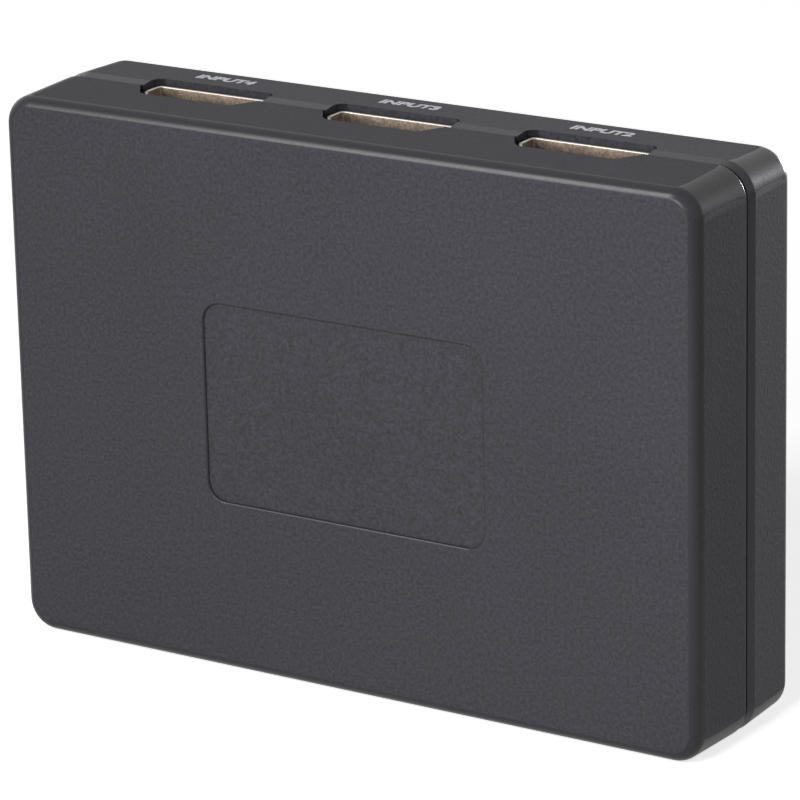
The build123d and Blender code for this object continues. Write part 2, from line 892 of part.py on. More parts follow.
def regulator_lead_set():
    """The regulator's three leads and the wide tab opposite them."""
    level = chip_clear + regulator_height / 2
    lead = chip_lead(
        regulator_width / 2, level, coarse_lead_reach, regulator_lead_width, coarse_lead_thickness
    )
    tab = chip_lead(
        regulator_width / 2, level, coarse_lead_reach, regulator_tab_width, coarse_lead_thickness
    )
    frame = on_board(regulator_place_shares)
    leads = [frame * Rot(0, 0, 270) * one for one in lead_row(lead, regulator_lead_count, regulator_pitch)]
    return leads + [frame * Rot(0, 0, 90) * tab]


def crystal_piece():
    """The crystal's can: a long round-ended cap on a thin rim."""
    base = extrude(SlotOverall(crystal_length, crystal_width), amount=crystal_base)
    cap_length = crystal_length - 2 * crystal_rim
    cap_width = crystal_width - 2 * crystal_rim
    cap = extrude(SlotOverall(cap_length, cap_width), amount=crystal_height)
    cap = fillet(cap.edges().group_by(Axis.Z)[-1], crystal_rim)
    return on_board(crystal_place_shares) * (base + cap)


def capacitor_bases():
    """The square bases under the two electrolytic capacitors."""
    base = Pos(0, 0, can_base / 2) * Box(can_base_size, can_base_size, can_base)
    base = chamfer(base.edges().filter_by(Axis.Z).group_by(Axis.X)[-1], can_base_corner)
    return [on_board(place) * base for place in can_place_shares]


def capacitor_cans():
    """The two electrolytic capacitors' cans, scored across the top."""
    height = can_height - can_base
    can = Pos(0, 0, can_base + height / 2) * Cylinder(can_radius, height)
    can = fillet(can.edges().group_by(Axis.Z)[-1], can_round)
    arm = 2 * (can_radius - 2 * can_round)
    depth = (can_height - can_score, can_height + cut_overrun)
    can = can - block(spread(0, arm), spread(0, can_score), depth)
    can = can - block(spread(0, can_score), spread(0, arm), depth)
    return [on_board(place) * can for place in can_place_shares]


def small_part():
    """A chip resistor or capacitor: a body a little lower than its two end caps."""
    end = small_part_length / 2
    cap_ends = (end - small_part_cap, end)
    across = spread(0, small_part_width)
    inner = spread(0, small_part_width - small_part_height / 10)
    body = block(spread(0, small_part_length - small_part_cap), inner, (0, small_part_height * 9 / 10))
    caps = block(cap_ends, across, (0, small_part_height))
    return body + caps + Rot(0, 0, 180) * caps


def ceramic_capacitors():
    """The small ceramic capacitors on the board."""
    return [on_board(place) * small_part() for place in capacitor_place_shares]


def chip_resistors():
    """The small resistors on the board, turned across the capacitors."""
    return [on_board(place) * Rot(0, 0, 90) * small_part() for place in resistor_place_shares]


def surge_protectors():
    """A pair of flat protectors behind each socket."""
    parts = []
    setback = shell_depth + contact_tail + contact_foot + protector_width
    for _, x, side in sockets:
        for end in (-1, 1):
            middle = end * shell_width / 4
            parts.append(socket_frame(x, side) * block(
                spread(middle, protector_length), (-shell_height / 2, protector_height - shell_height / 2),
                spread(-setback, protector_width),
            ))
    return parts


def save(name, piece):
    """Write one sub-part, a single solid or a group of separate ones."""
    solids = [solid for one in (piece if isinstance(piece, list) else [piece]) for solid in one.solids()]
    shape = solids[0] if len(solids) == 1 else Compound(children=solids)
    export_step(shape, f"parts/{name}.step")


def save_sockets():
    """Write the shell, insulator and contacts of every socket."""
    shell = socket_shell()
    insulator = socket_insulator()
    contacts = socket_contacts()
    for name, x, side in sockets:
        frame = socket_frame(x, side)
        save(f"{name}_shell", frame * shell)
        save(f"{name}_insulator", frame * insulator)
        save(f"{name}_contacts", [frame * contact for contact in contacts])


def save_board_parts():
    """Write the board and everything fixed on it apart from the sockets."""
    save("circuit_board", circuit_board())
    save("board_screws", board_screws())
    save("jack_housing", jack_housing())
    save("jack_pin", jack_pin())
    save("jack_spring", jack_spring())
    save("jack_legs", jack_legs())
    save("switch_base", switch_base())
    save("switch_plate", switch_plate_piece())
    save("switch_dome", switch_dome())
    save("switch_terminals", switch_terminals())
    for number, (x, z) in enumerate(reversed(lamp_places), start=1):
        save(f"indicator_lamp_{number}", indicator_lamp(x, z))
    save("lamp_leads", lamp_leads())
    save("infrared_receiver", infrared_receiver())
    save("receiver_leads", receiver_leads())
    chip = chip_body(switch_chip_size, switch_chip_size, switch_chip_height)
    save("switch_chip", on_board(switch_chip_place_shares) * chip)
    save("switch_chip_leads", switch_chip_lead_set())
    chip = chip_body(controller_length, controller_width, controller_height)
    save("controller", on_board(controller_place_shares) * chip)
    save("controller_leads", controller_lead_set())
    chip = chip_body(regulator_length, regulator_width, regulator_height)
    save("regulator", on_board(regulator_place_shares) * chip)
    save("regulator_leads", regulator_lead_set())
    save("crystal", crystal_piece())
    save("capacitor_bases", capacitor_bases())
    save("capacitor_cans", capacitor_cans())
    save("ceramic_capacitors", ceramic_capacitors())
    save("chip_resistors", chip_resistors())
    save("surge_protectors", surge_protectors())


os.makedirs("parts", exist_ok=True)
save("lower_casing", lower_casing())
save("upper_casing", upper_casing())
save("infrared_window", infrared_window())
save("select_button", select_button())
save("switch_plunger", switch_plunger())
save_sockets()
save_board_parts()
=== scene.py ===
"""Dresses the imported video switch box.

The two casings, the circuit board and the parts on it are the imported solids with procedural
finishes. The sockets, the power jack, the select button, the lamps, the infrared window and
the printed words are modelled here with bmesh operators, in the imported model's own frame.
Sizes are written in millimetres and turned into metres where a mesh is made. The floor and
the softboxes are in metres.
"""

import logging
from collections.abc import Callable, Sequence
from dataclasses import dataclass
from enum import Enum
from math import cos, hypot, pi, radians, sin, tan

import bmesh
import bpy
from mathutils import Euler, Matrix, Vector


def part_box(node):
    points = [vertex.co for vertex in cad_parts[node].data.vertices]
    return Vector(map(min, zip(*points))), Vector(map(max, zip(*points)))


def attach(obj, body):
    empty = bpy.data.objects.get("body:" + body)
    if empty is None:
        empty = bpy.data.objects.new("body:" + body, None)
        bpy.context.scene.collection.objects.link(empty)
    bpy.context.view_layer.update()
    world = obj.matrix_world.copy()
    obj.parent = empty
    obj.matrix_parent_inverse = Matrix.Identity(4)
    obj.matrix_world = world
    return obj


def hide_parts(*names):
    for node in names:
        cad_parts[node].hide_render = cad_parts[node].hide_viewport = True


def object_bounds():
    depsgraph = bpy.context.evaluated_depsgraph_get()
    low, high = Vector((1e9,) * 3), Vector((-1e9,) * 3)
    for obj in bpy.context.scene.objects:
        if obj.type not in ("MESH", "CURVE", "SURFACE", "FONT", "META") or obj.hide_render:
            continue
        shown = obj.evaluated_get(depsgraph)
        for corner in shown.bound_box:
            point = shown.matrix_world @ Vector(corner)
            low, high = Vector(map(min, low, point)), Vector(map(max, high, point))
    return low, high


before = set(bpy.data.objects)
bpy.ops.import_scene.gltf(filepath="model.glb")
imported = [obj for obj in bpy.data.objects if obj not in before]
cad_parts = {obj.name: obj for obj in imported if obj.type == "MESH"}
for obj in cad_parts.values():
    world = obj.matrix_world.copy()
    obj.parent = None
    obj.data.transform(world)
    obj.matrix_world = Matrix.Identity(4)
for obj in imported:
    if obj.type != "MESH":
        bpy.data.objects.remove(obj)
cad_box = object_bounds()

log = logging.getLogger("switch_box")

Colour = tuple[float, float, float]
Point = tuple[float, float, float]
Span = tuple[float, float]
Section = Sequence[tuple[float, float]]
Faces = list[bmesh.types.BMFace]
Edges = set[bmesh.types.BMEdge]

MM = 0.001
LAMP_NUMBERS = range(1, 6)
SOCKET_WORDS = {
    "input_4": "INPUT4", "input_3": "INPUT3", "input_2": "INPUT2",
    "input_5": "INPUT5", "output": "OUTPUT", "input_1": "INPUT1",
}

# The box stands at height 0, so this is the height of its middle too.
HALF_HEIGHT = round((cad_box[1].z - cad_box[0].z) / 2 / MM, 3)

# Points this close, in millimetres, count as level, or are welded into one.
LEVEL = 1e-3
WELD = 1e-4
FINE_WELD = 1e-5

# Edges that turn by more degrees than this stay sharp.
SHARP_ANGLE = 32

# The share at which a blend shows both its colours alike. Noise swings around it.
EVEN = 0.5

WHITE = (1.0, 1.0, 1.0)


class Body(Enum):
    """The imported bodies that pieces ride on."""

    BOX = "box"
    BUTTON = "button"


class Signal:
    """A shader output that takes part in Python sums, each of which adds a Math node."""

    def __init__(self, shader: "Shader", socket: bpy.types.NodeSocket) -> None:
        """Wraps one output.

        Args:
            shader: The shader whose tree holds the output.
            socket: The output itself.
        """
        self.shader = shader
        self.socket = socket

    def output(self, name: str) -> "Signal":
        """Another output of the same node."""
        return Signal(self.shader, self.socket.node.outputs[name])

    def swing(self, amount: float) -> "Signal":
        """This noise as a change around nought, half the amount either way."""
        return (self - EVEN) * amount

    def __add__(self, other: "Term") -> "Signal":
        """This value plus another."""
        return self.shader.maths("ADD", self, other)

    def __radd__(self, other: "Term") -> "Signal":
        """Another value plus this one."""
        return self.shader.maths("ADD", other, self)

    def __sub__(self, other: "Term") -> "Signal":
        """This value less another."""
        return self.shader.maths("SUBTRACT", self, other)

    def __rsub__(self, other: "Term") -> "Signal":
        """Another value less this one."""
        return self.shader.maths("SUBTRACT", other, self)

    def __mul__(self, other: "Term") -> "Signal":
        """This value times another."""
        return self.shader.maths("MULTIPLY", self, other)

    def __rmul__(self, other: "Term") -> "Signal":
        """Another value times this one."""
        return self.shader.maths("MULTIPLY", other, self)

    def __abs__(self) -> "Signal":
        """This value without its sign."""
        return self.shader.maths("ABSOLUTE", self, 0.0)


Term = Signal | float


def rgba(colour: Colour) -> tuple[float, float, float, float]:
    """A colour as the four numbers that a colour socket takes."""
    return (*colour, 1.0)


class Shader:
    """One node tree and the few kinds of node that the finishes are built from."""

    def __init__(self, tree: bpy.types.NodeTree) -> None:
        """Starts with an empty tree.

        Args:
            tree: The material's or world's node tree.
        """
        self.tree = tree
        self.tree.nodes.clear()

    def node(
        self,
        kind: str,
        settings: dict[str, object] | None = None,
        inputs: dict[str | int, object] | None = None,
        output: str | int = 0,
    ) -> Signal | None:
        """Adds one node, sets it up and connects it.

        Args:
            kind: Blender's name of the node's type.
            settings: The node's own options.
            inputs: Values or signals by the name or number of the socket.
            output: The output that is handed back.

        Returns:
            The chosen output, or None where the node has no outputs.
        """
        made = self.tree.nodes.new(kind)
        for name, value in (settings or {}).items():
            setattr(made, name, value)
        for key, value in (inputs or {}).items():
            if isinstance(value, Signal):
                self.tree.links.new(value.socket, made.inputs[key])
            else:
                made.inputs[key].default_value = value
        return Signal(self, made.outputs[output]) if made.outputs else None

    def maths(self, operation: str, first: Term, second: Term) -> Signal:
        """One Math node on two terms."""
        return self.node("ShaderNodeMath", {"operation": operation}, {0: first, 1: second})

    def place(self, stretch: Point = (1.0, 1.0, 1.0)) -> Signal:
        """Object coordinates, in metres, stretched along each axis."""
        at = self.node("ShaderNodeTexCoord", output="Object")
        return self.node("ShaderNodeMapping", inputs={"Vector": at, "Scale": stretch})

    def noise(self, size: float, at: Signal, detail: float = 2.0, rough: float = 0.5) -> Signal:
        """Soft noise around one half.

        Args:
            size: The size of its spots, in millimetres.
            at: Where it is looked up.
            detail: How many finer layers it has.
            rough: How strong these are.

        Returns:
            The noise, from 0 to 1.
        """
        inputs = {"Vector": at, "Scale": 1 / (size * MM), "Detail": detail, "Roughness": rough}
        return self.node("ShaderNodeTexNoise", inputs=inputs)

    def cell_walls(self, size: float, at: Signal) -> Signal:
        """The distance to the nearest wall in a pattern of cells.

        Args:
            size: The size of a cell, in millimetres.
            at: Where it is looked up.

        Returns:
            The distance, in cells.
        """
        inputs = {"Vector": at, "Scale": 1 / (size * MM)}
        return self.node("ShaderNodeTexVoronoi", {"feature": "DISTANCE_TO_EDGE"}, inputs)

    def rise(self, value: Term, low: float, high: float) -> Signal:
        """A soft step from 0 at one value to 1 at another."""
        inputs = {"Value": value, "From Min": low, "From Max": high}
        return self.node("ShaderNodeMapRange", {"interpolation_type": "SMOOTHSTEP"}, inputs)

    def blend(self, share: Term, first: object, second: object) -> Signal:
        """A colour between two others, the second one where the share is 1."""
        inputs = {0: share, 6: first, 7: second}
        return self.node("ShaderNodeMix", {"data_type": "RGBA"}, inputs, output=2)

    def bump(self, height: Signal, depth: float, strength: float = 1.0) -> Signal:
        """A normal tipped by a height.

        Args:
            height: The height, as a share of the depth.
            depth: The depth of the relief, in millimetres.
            strength: How much of it shows.

        Returns:
            The normal.
        """
        inputs = {"Height": height, "Distance": depth * MM, "Strength": strength}
        return self.node("ShaderNodeBump", inputs=inputs)

    def flatness(self, curved: float, flat: float) -> Signal:
        """1 where the surface faces straight along an axis, 0 on round edges.

        Args:
            curved: The largest part of the normal that still counts as an edge.
            flat: The part from which the surface counts as flat.

        Returns:
            The soft mask.
        """
        normal = self.node("ShaderNodeNewGeometry", output="True Normal")
        parts = self.node("ShaderNodeSeparateXYZ", inputs={"Vector": normal})
        sides = [abs(parts.output(axis)) for axis in "XYZ"]
        largest = self.maths("MAXIMUM", self.maths("MAXIMUM", sides[0], sides[1]), sides[2])
        return self.rise(largest, curved, flat)

    def seen(self) -> Signal:
        """Tells what is looked at from what lights.

        Returns:
            1 for rays from the camera, a mirror or a glass, 0 for the light on a surface.
        """
        camera = self.node("ShaderNodeLightPath", output="Is Camera Ray")
        mirror = camera.output("Is Glossy Ray")
        glass = camera.output("Is Transmission Ray")
        return self.maths("MAXIMUM", self.maths("MAXIMUM", camera, mirror), glass)


@dataclass(frozen=True)
class Finish:
    """A named finish. Each kind says in paint() what its surface does."""

    name: str

    def paint(self, shader: Shader) -> dict[str, object]:
        """Adds the finish's nodes.

        Args:
            shader: The shader whose tree takes the nodes.

        Returns:
            What goes into the sockets of the Principled shader.
        """
        raise NotImplementedError

    def material(self) -> bpy.types.Material:
        """Makes the material when it is first asked for.

        Returns:
            The finish's one material.
        """
        made = bpy.data.materials.get(self.name)
        if made is None:
            made = bpy.data.materials.new(self.name)
            made.use_nodes = True
            shader = Shader(made.node_tree)
            surface = shader.node("ShaderNodeBsdfPrincipled", inputs=self.paint(shader))
            shader.node("ShaderNodeOutputMaterial", inputs={"Surface": surface})
        return made


@dataclass(frozen=True)
class MouldedPlastic(Finish):
    """Plastic out of a tool with a fine spark-eroded grain, smoother on its round edges, which can take a
    painted shade.
    """

    colour: Colour
    roughness: float = 0.5
    specular: float = 0.5
    grain: float = 0.34
    grain_depth: float = 0.012
    grain_tone: float = 0.35
    grain_gloss: float = 0.1
    mottle: float = 22.0
    mottle_tone: float = 0.25
    darkest: float = 0.45
    lightest: float = 1.55
    edge_roughness: float = 0.4
    # Share of the colour on round edges; below 1 it is painted shade that darkens them.
    edge_shade: float = 1.0
    flat_span: Span = (0.98, 0.999)

    def shade(self, share: float) -> tuple[float, float, float, float]:
        """The plastic's colour times a share, as a colour socket takes it."""
        return rgba(tuple(share * part for part in self.colour))

    def paint(self, shader: Shader) -> dict[str, object]:
        """A grain in tone and relief over slow blotches, both fading on round edges, which also take a
        painted shade.

        Args:
            shader: The shader whose tree takes the nodes.

        Returns:
            What goes into the sockets of the Principled shader.
        """
        at = shader.place()
        flat = shader.flatness(*self.flat_span)
        grain = shader.noise(self.grain, at, detail=3.0, rough=0.6)
        blotches = shader.noise(self.mottle, at, detail=3.0, rough=0.55)
        tone = grain.swing(self.grain_tone) * flat + blotches.swing(self.mottle_tone) + EVEN
        rough = self.edge_roughness + (self.roughness - self.edge_roughness) * flat
        body = shader.blend(tone, self.shade(self.darkest), self.shade(self.lightest))
        return {
            # Round edges take the darker colour here: painted shade, not a colour the plastic has.
            "Base Color": shader.blend(flat, self.shade(self.edge_shade), body),
            "Roughness": rough + grain.swing(self.grain_gloss),
            "Specular IOR Level": self.specular,
            "Normal": shader.bump(grain * flat, self.grain_depth),
        }


@dataclass(frozen=True)
class SocketPlating(Finish):
    """Bright plating at a socket's mouth that tarnishes to a granular brown further in."""

    bright: Colour
    tarnish: Colour
    deep: Colour
    rim_depth: float
    rim_fade: float = 0.16
    grain: float = 0.32
    streak: float = 1.6
    grain_share: float = 0.7
    speck_span: Span = (0.38, 0.66)
    roughness: float = 0.3
    tarnish_roughness: float = 0.18
    grain_gloss: float = 0.15
    pit_depth: float = 0.02
    pit_strength: float = 0.6

    def paint(self, shader: Shader) -> dict[str, object]:
        """Tarnish by the depth behind the nearest long wall, broken up by grains.

        Args:
            shader: The shader whose tree takes the nodes.

        Returns:
            What goes into the sockets of the Principled shader.
        """
        at = shader.place()
        height = shader.node("ShaderNodeSeparateXYZ", inputs={"Vector": at}).output("Z")
        depth = HALF_HEIGHT * MM - abs(height - HALF_HEIGHT * MM)
        grain = shader.noise(self.grain, at, detail=3.0, rough=0.65)
        streak = shader.noise(self.streak, at)
        inside = shader.rise(depth, self.rim_depth * MM, (self.rim_depth + self.rim_fade) * MM)
        specks = grain * self.grain_share + streak * (1 - self.grain_share)
        share = shader.rise(specks, *self.speck_span)
        brown = shader.blend(share, rgba(self.deep), rgba(self.tarnish))
        return {
            "Base Color": shader.blend(inside, rgba(self.bright), brown),
            "Metallic": 1.0,
            "Roughness": self.roughness + inside * self.tarnish_roughness + grain.swing(self.grain_gloss),
            "Normal": shader.bump(grain * inside, self.pit_depth, self.pit_strength),
        }


@dataclass(frozen=True)
class Metal(Finish):
    """Plated or bare metal with a cloudy tone and fine scratches along one axis."""

    bright: Colour
    dull: Colour
    roughness: float = 0.3
    cloud: float = 1.5
    cloud_span: Span = (0.3, 0.7)
    cloud_gloss: float = 0.2
    scratch: float = 0.15
    scratch_gloss: float = 0.12
    scratch_depth: float = 0.004
    brushed: Point = (1.0, 1.0, 1.0)

    def paint(self, shader: Shader) -> dict[str, object]:
        """Clouds in tone and gloss, with a stretched fine noise as scratches.

        Args:
            shader: The shader whose tree takes the nodes.

        Returns:
            What goes into the sockets of the Principled shader.
        """
        clouds = shader.noise(self.cloud, shader.place(), detail=4.0, rough=0.6)
        scratches = shader.noise(self.scratch, shader.place(self.brushed))
        tone = shader.rise(clouds, *self.cloud_span)
        gloss = self.roughness + clouds.swing(self.cloud_gloss) + scratches.swing(self.scratch_gloss)
        return {
            "Base Color": shader.blend(tone, rgba(self.dull), rgba(self.bright)),
            "Metallic": 1.0,
            "Roughness": gloss,
            "Normal": shader.bump(scratches, self.scratch_depth),
        }


@dataclass(frozen=True)
class Resin(Finish):
    """Filled resin or ceramic: a matt body with specks of another colour."""

    colour: Colour
    speck: Colour
    roughness: float = 0.6
    grain: float = 0.12
    specks: float = 0.25
    speck_span: Span = (0.5, 0.75)
    grain_gloss: float = 0.2
    grain_depth: float = 0.006
    grain_strength: float = 0.7
    drift: float = 4.0
    drift_tone: float = 0.15

    def paint(self, shader: Shader) -> dict[str, object]:
        """Fine specks over a slow change in tone.

        Args:
            shader: The shader whose tree takes the nodes.

        Returns:
            What goes into the sockets of the Principled shader.
        """
        at = shader.place()
        grain = shader.noise(self.grain, at, rough=0.7)
        drift = shader.noise(self.drift, at)
        share = shader.rise(grain, *self.speck_span) * self.specks + drift.swing(self.drift_tone)
        return {
            "Base Color": shader.blend(share, rgba(self.colour), rgba(self.speck)),
            "Roughness": self.roughness + grain.swing(self.grain_gloss),
            "Normal": shader.bump(grain, self.grain_depth, self.grain_strength),
        }


@dataclass(frozen=True)
class BoardLaminate(Finish):
    """Solder mask over copper: traces as faint raised cells, fibre showing at the cut edge."""

    mask: Colour
    trace: Colour
    fibre: Colour
    field: float = 3.2
    trace_span: Span = (0.035, 0.06)
    weave: float = 0.25
    weave_stretch: Point = (1.0, 4.0, 1.0)
    weave_gloss: float = 0.1
    weave_relief: float = 0.3
    face_span: Span = (0.6, 0.9)
    edge_roughness: float = 0.62
    face_polish: float = 0.3
    relief: float = 0.03

    def paint(self, shader: Shader) -> dict[str, object]:
        """Trace tone and relief on the two faces, weave at the edges and in the holes.

        Args:
            shader: The shader whose tree takes the nodes.

        Returns:
            What goes into the sockets of the Principled shader.
        """
        walls = shader.cell_walls(self.field, shader.place())
        tracks = 1.0 - shader.rise(walls, *self.trace_span)
        weave = shader.noise(self.weave, shader.place(self.weave_stretch))
        normal = shader.node("ShaderNodeNewGeometry", output="Normal")
        across = shader.node("ShaderNodeSeparateXYZ", inputs={"Vector": normal}).output("Y")
        face = shader.rise(abs(across), *self.face_span)
        top = shader.blend(tracks, rgba(self.mask), rgba(self.trace))
        return {
            "Base Color": shader.blend(face, rgba(self.fibre), top),
            "Roughness": self.edge_roughness - face * self.face_polish + weave.swing(self.weave_gloss),
            "Normal": shader.bump(tracks * face + weave * self.weave_relief, self.relief),
        }


@dataclass(frozen=True)
class ClearResin(Finish):
    """Cast or polished see-through plastic with slow streaks and a smooth coat."""

    colour: Colour
    streak_colour: Colour
    roughness: float = 0.12
    transmission: float = 0.0
    coat: float = 0.6
    coat_roughness: float = 0.08
    streak: float = 2.4
    peel: float = 0.6
    peel_gloss: float = 0.06
    peel_depth: float = 0.004
    peel_strength: float = 0.4

    def paint(self, shader: Shader) -> dict[str, object]:
        """Streaks in tone and a light orange peel in the gloss.

        Args:
            shader: The shader whose tree takes the nodes.

        Returns:
            What goes into the sockets of the Principled shader.
        """
        at = shader.place()
        streaks = shader.noise(self.streak, at, detail=3.0)
        peel = shader.noise(self.peel, at)
        return {
            "Base Color": shader.blend(streaks, rgba(self.colour), rgba(self.streak_colour)),
            "Roughness": self.roughness + peel.swing(self.peel_gloss),
            "Transmission Weight": self.transmission,
            "Coat Weight": self.coat,
            "Coat Roughness": self.coat_roughness,
            "Normal": shader.bump(peel, self.peel_depth, self.peel_strength),
        }


@dataclass(frozen=True)
class PrintedInk(Finish):
    """Pad-printed ink, a little thin in places."""

    colour: Colour
    thin: Colour
    cover: float = 0.3
    cover_span: Span = (0.28, 0.5)
    roughness: float = 0.55
    cover_gloss: float = 0.2
    cover_depth: float = 0.004
    cover_strength: float = 0.5

    def paint(self, shader: Shader) -> dict[str, object]:
        """Coverage that varies inside the strokes.

        Args:
            shader: The shader whose tree takes the nodes.

        Returns:
            What goes into the sockets of the Principled shader.
        """
        cover = shader.noise(self.cover, shader.place(), detail=3.0, rough=0.65)
        share = shader.rise(cover, *self.cover_span)
        return {
            "Base Color": shader.blend(share, rgba(self.thin), rgba(self.colour)),
            "Roughness": self.roughness + cover.swing(self.cover_gloss),
            "Normal": shader.bump(cover, self.cover_depth, self.cover_strength),
        }


# The casing's round edges get 0.65 of its colour as painted shade.
CASING = MouldedPlastic(
    "sanded_black_plastic", (0.030, 0.0292, 0.036), roughness=0.72, specular=0.29, grain=0.4,
    grain_depth=0.04, grain_tone=1.9, edge_roughness=0.26, edge_shade=0.65,
)
BUTTON = MouldedPlastic(
    "satin_black_plastic", (0.017, 0.017, 0.019), roughness=0.42, grain=0.22, grain_depth=0.006,
    grain_tone=0.2, mottle=6.0, mottle_tone=0.15, edge_roughness=0.34,
)
PLATING = SocketPlating(
    "socket_plating", bright=(0.50, 0.48, 0.45), tarnish=(0.40, 0.32, 0.255), deep=(0.23, 0.175, 0.14),
    rim_depth=0.72,
)
SOCKET_INSULATOR = Resin(
    "glass_filled_insulator", (0.018, 0.018, 0.019), (0.06, 0.06, 0.06), roughness=0.5
)
CONTACT_GOLD = Metal(
    "flash_gold", (0.90, 0.66, 0.28), (0.72, 0.50, 0.20), roughness=0.24, cloud=0.8
)
LAMINATE = BoardLaminate(
    "solder_mask", mask=(0.012, 0.075, 0.032), trace=(0.022, 0.12, 0.05), fibre=(0.42, 0.40, 0.24)
)
SCREW_STEEL = Metal(
    "zinc_plated_steel", (0.66, 0.66, 0.68), (0.45, 0.45, 0.48), roughness=0.32, cloud=1.2
)
JACK_PLASTIC = Resin("jack_plastic", (0.014, 0.014, 0.015), (0.05, 0.05, 0.05), roughness=0.45)
TIN = Metal("tin_plate", (0.74, 0.73, 0.70), (0.52, 0.51, 0.49), roughness=0.38, cloud=0.9)
PLUNGER = Resin("satin_plunger_plastic", (0.03, 0.03, 0.032), (0.08, 0.08, 0.08), roughness=0.4)
LAMP = ClearResin(
    "milky_lamp_resin", (0.72, 0.74, 0.74), (0.82, 0.83, 0.82), roughness=0.18, transmission=0.35,
    coat=0.7,
)
WINDOW = ClearResin(
    "infrared_window_plastic", (0.030, 0.004, 0.006), (0.045, 0.006, 0.008), roughness=0.07
)
CHIP = Resin("matt_chip_resin", (0.020, 0.020, 0.021), (0.09, 0.09, 0.09))
CRYSTAL_CAN = Metal(
    "drawn_nickel_can", (0.78, 0.76, 0.72), (0.62, 0.60, 0.57), roughness=0.26, cloud=2.5
)
ALUMINIUM = Metal(
    "bright_can_aluminium", (0.86, 0.87, 0.88), (0.74, 0.75, 0.77), cloud=2.0, brushed=(1.0, 8.0, 1.0)
)
CAPACITOR_BASE = Resin(
    "capacitor_base", (0.016, 0.016, 0.016), (0.05, 0.05, 0.05), roughness=0.55
)
CERAMIC = Resin(
    "tan_ceramic", (0.38, 0.27, 0.17), (0.62, 0.60, 0.56), roughness=0.5, grain=0.2, specks=0.5
)
RESISTOR = Resin(
    "resistor_glaze", (0.022, 0.022, 0.024), (0.55, 0.54, 0.52), roughness=0.35, grain=0.25, specks=0.35
)
INK = PrintedInk("white_ink", colour=(0.80, 0.82, 0.88), thin=(0.44, 0.46, 0.50))

SLOT_FINISHES: dict[str, Finish] = {
    "casing_plastic": CASING,
    "button_plastic": BUTTON,
    "socket_shell_metal": PLATING,
    "socket_insulator_plastic": SOCKET_INSULATOR,
    "contact_gold": CONTACT_GOLD,
    "board_laminate": LAMINATE,
    "screw_steel": SCREW_STEEL,
    "moulded_black_plastic": JACK_PLASTIC,
    "tinned_metal": TIN,
    "plunger_plastic": PLUNGER,
    "lamp_resin": LAMP,
    "window_plastic": WINDOW,
    "chip_resin": CHIP,
    "crystal_can": CRYSTAL_CAN,
    "capacitor_aluminium": ALUMINIUM,
    "capacitor_base_plastic": CAPACITOR_BASE,
    "capacitor_ceramic": CERAMIC,
    "resistor_ceramic": RESISTOR,
}


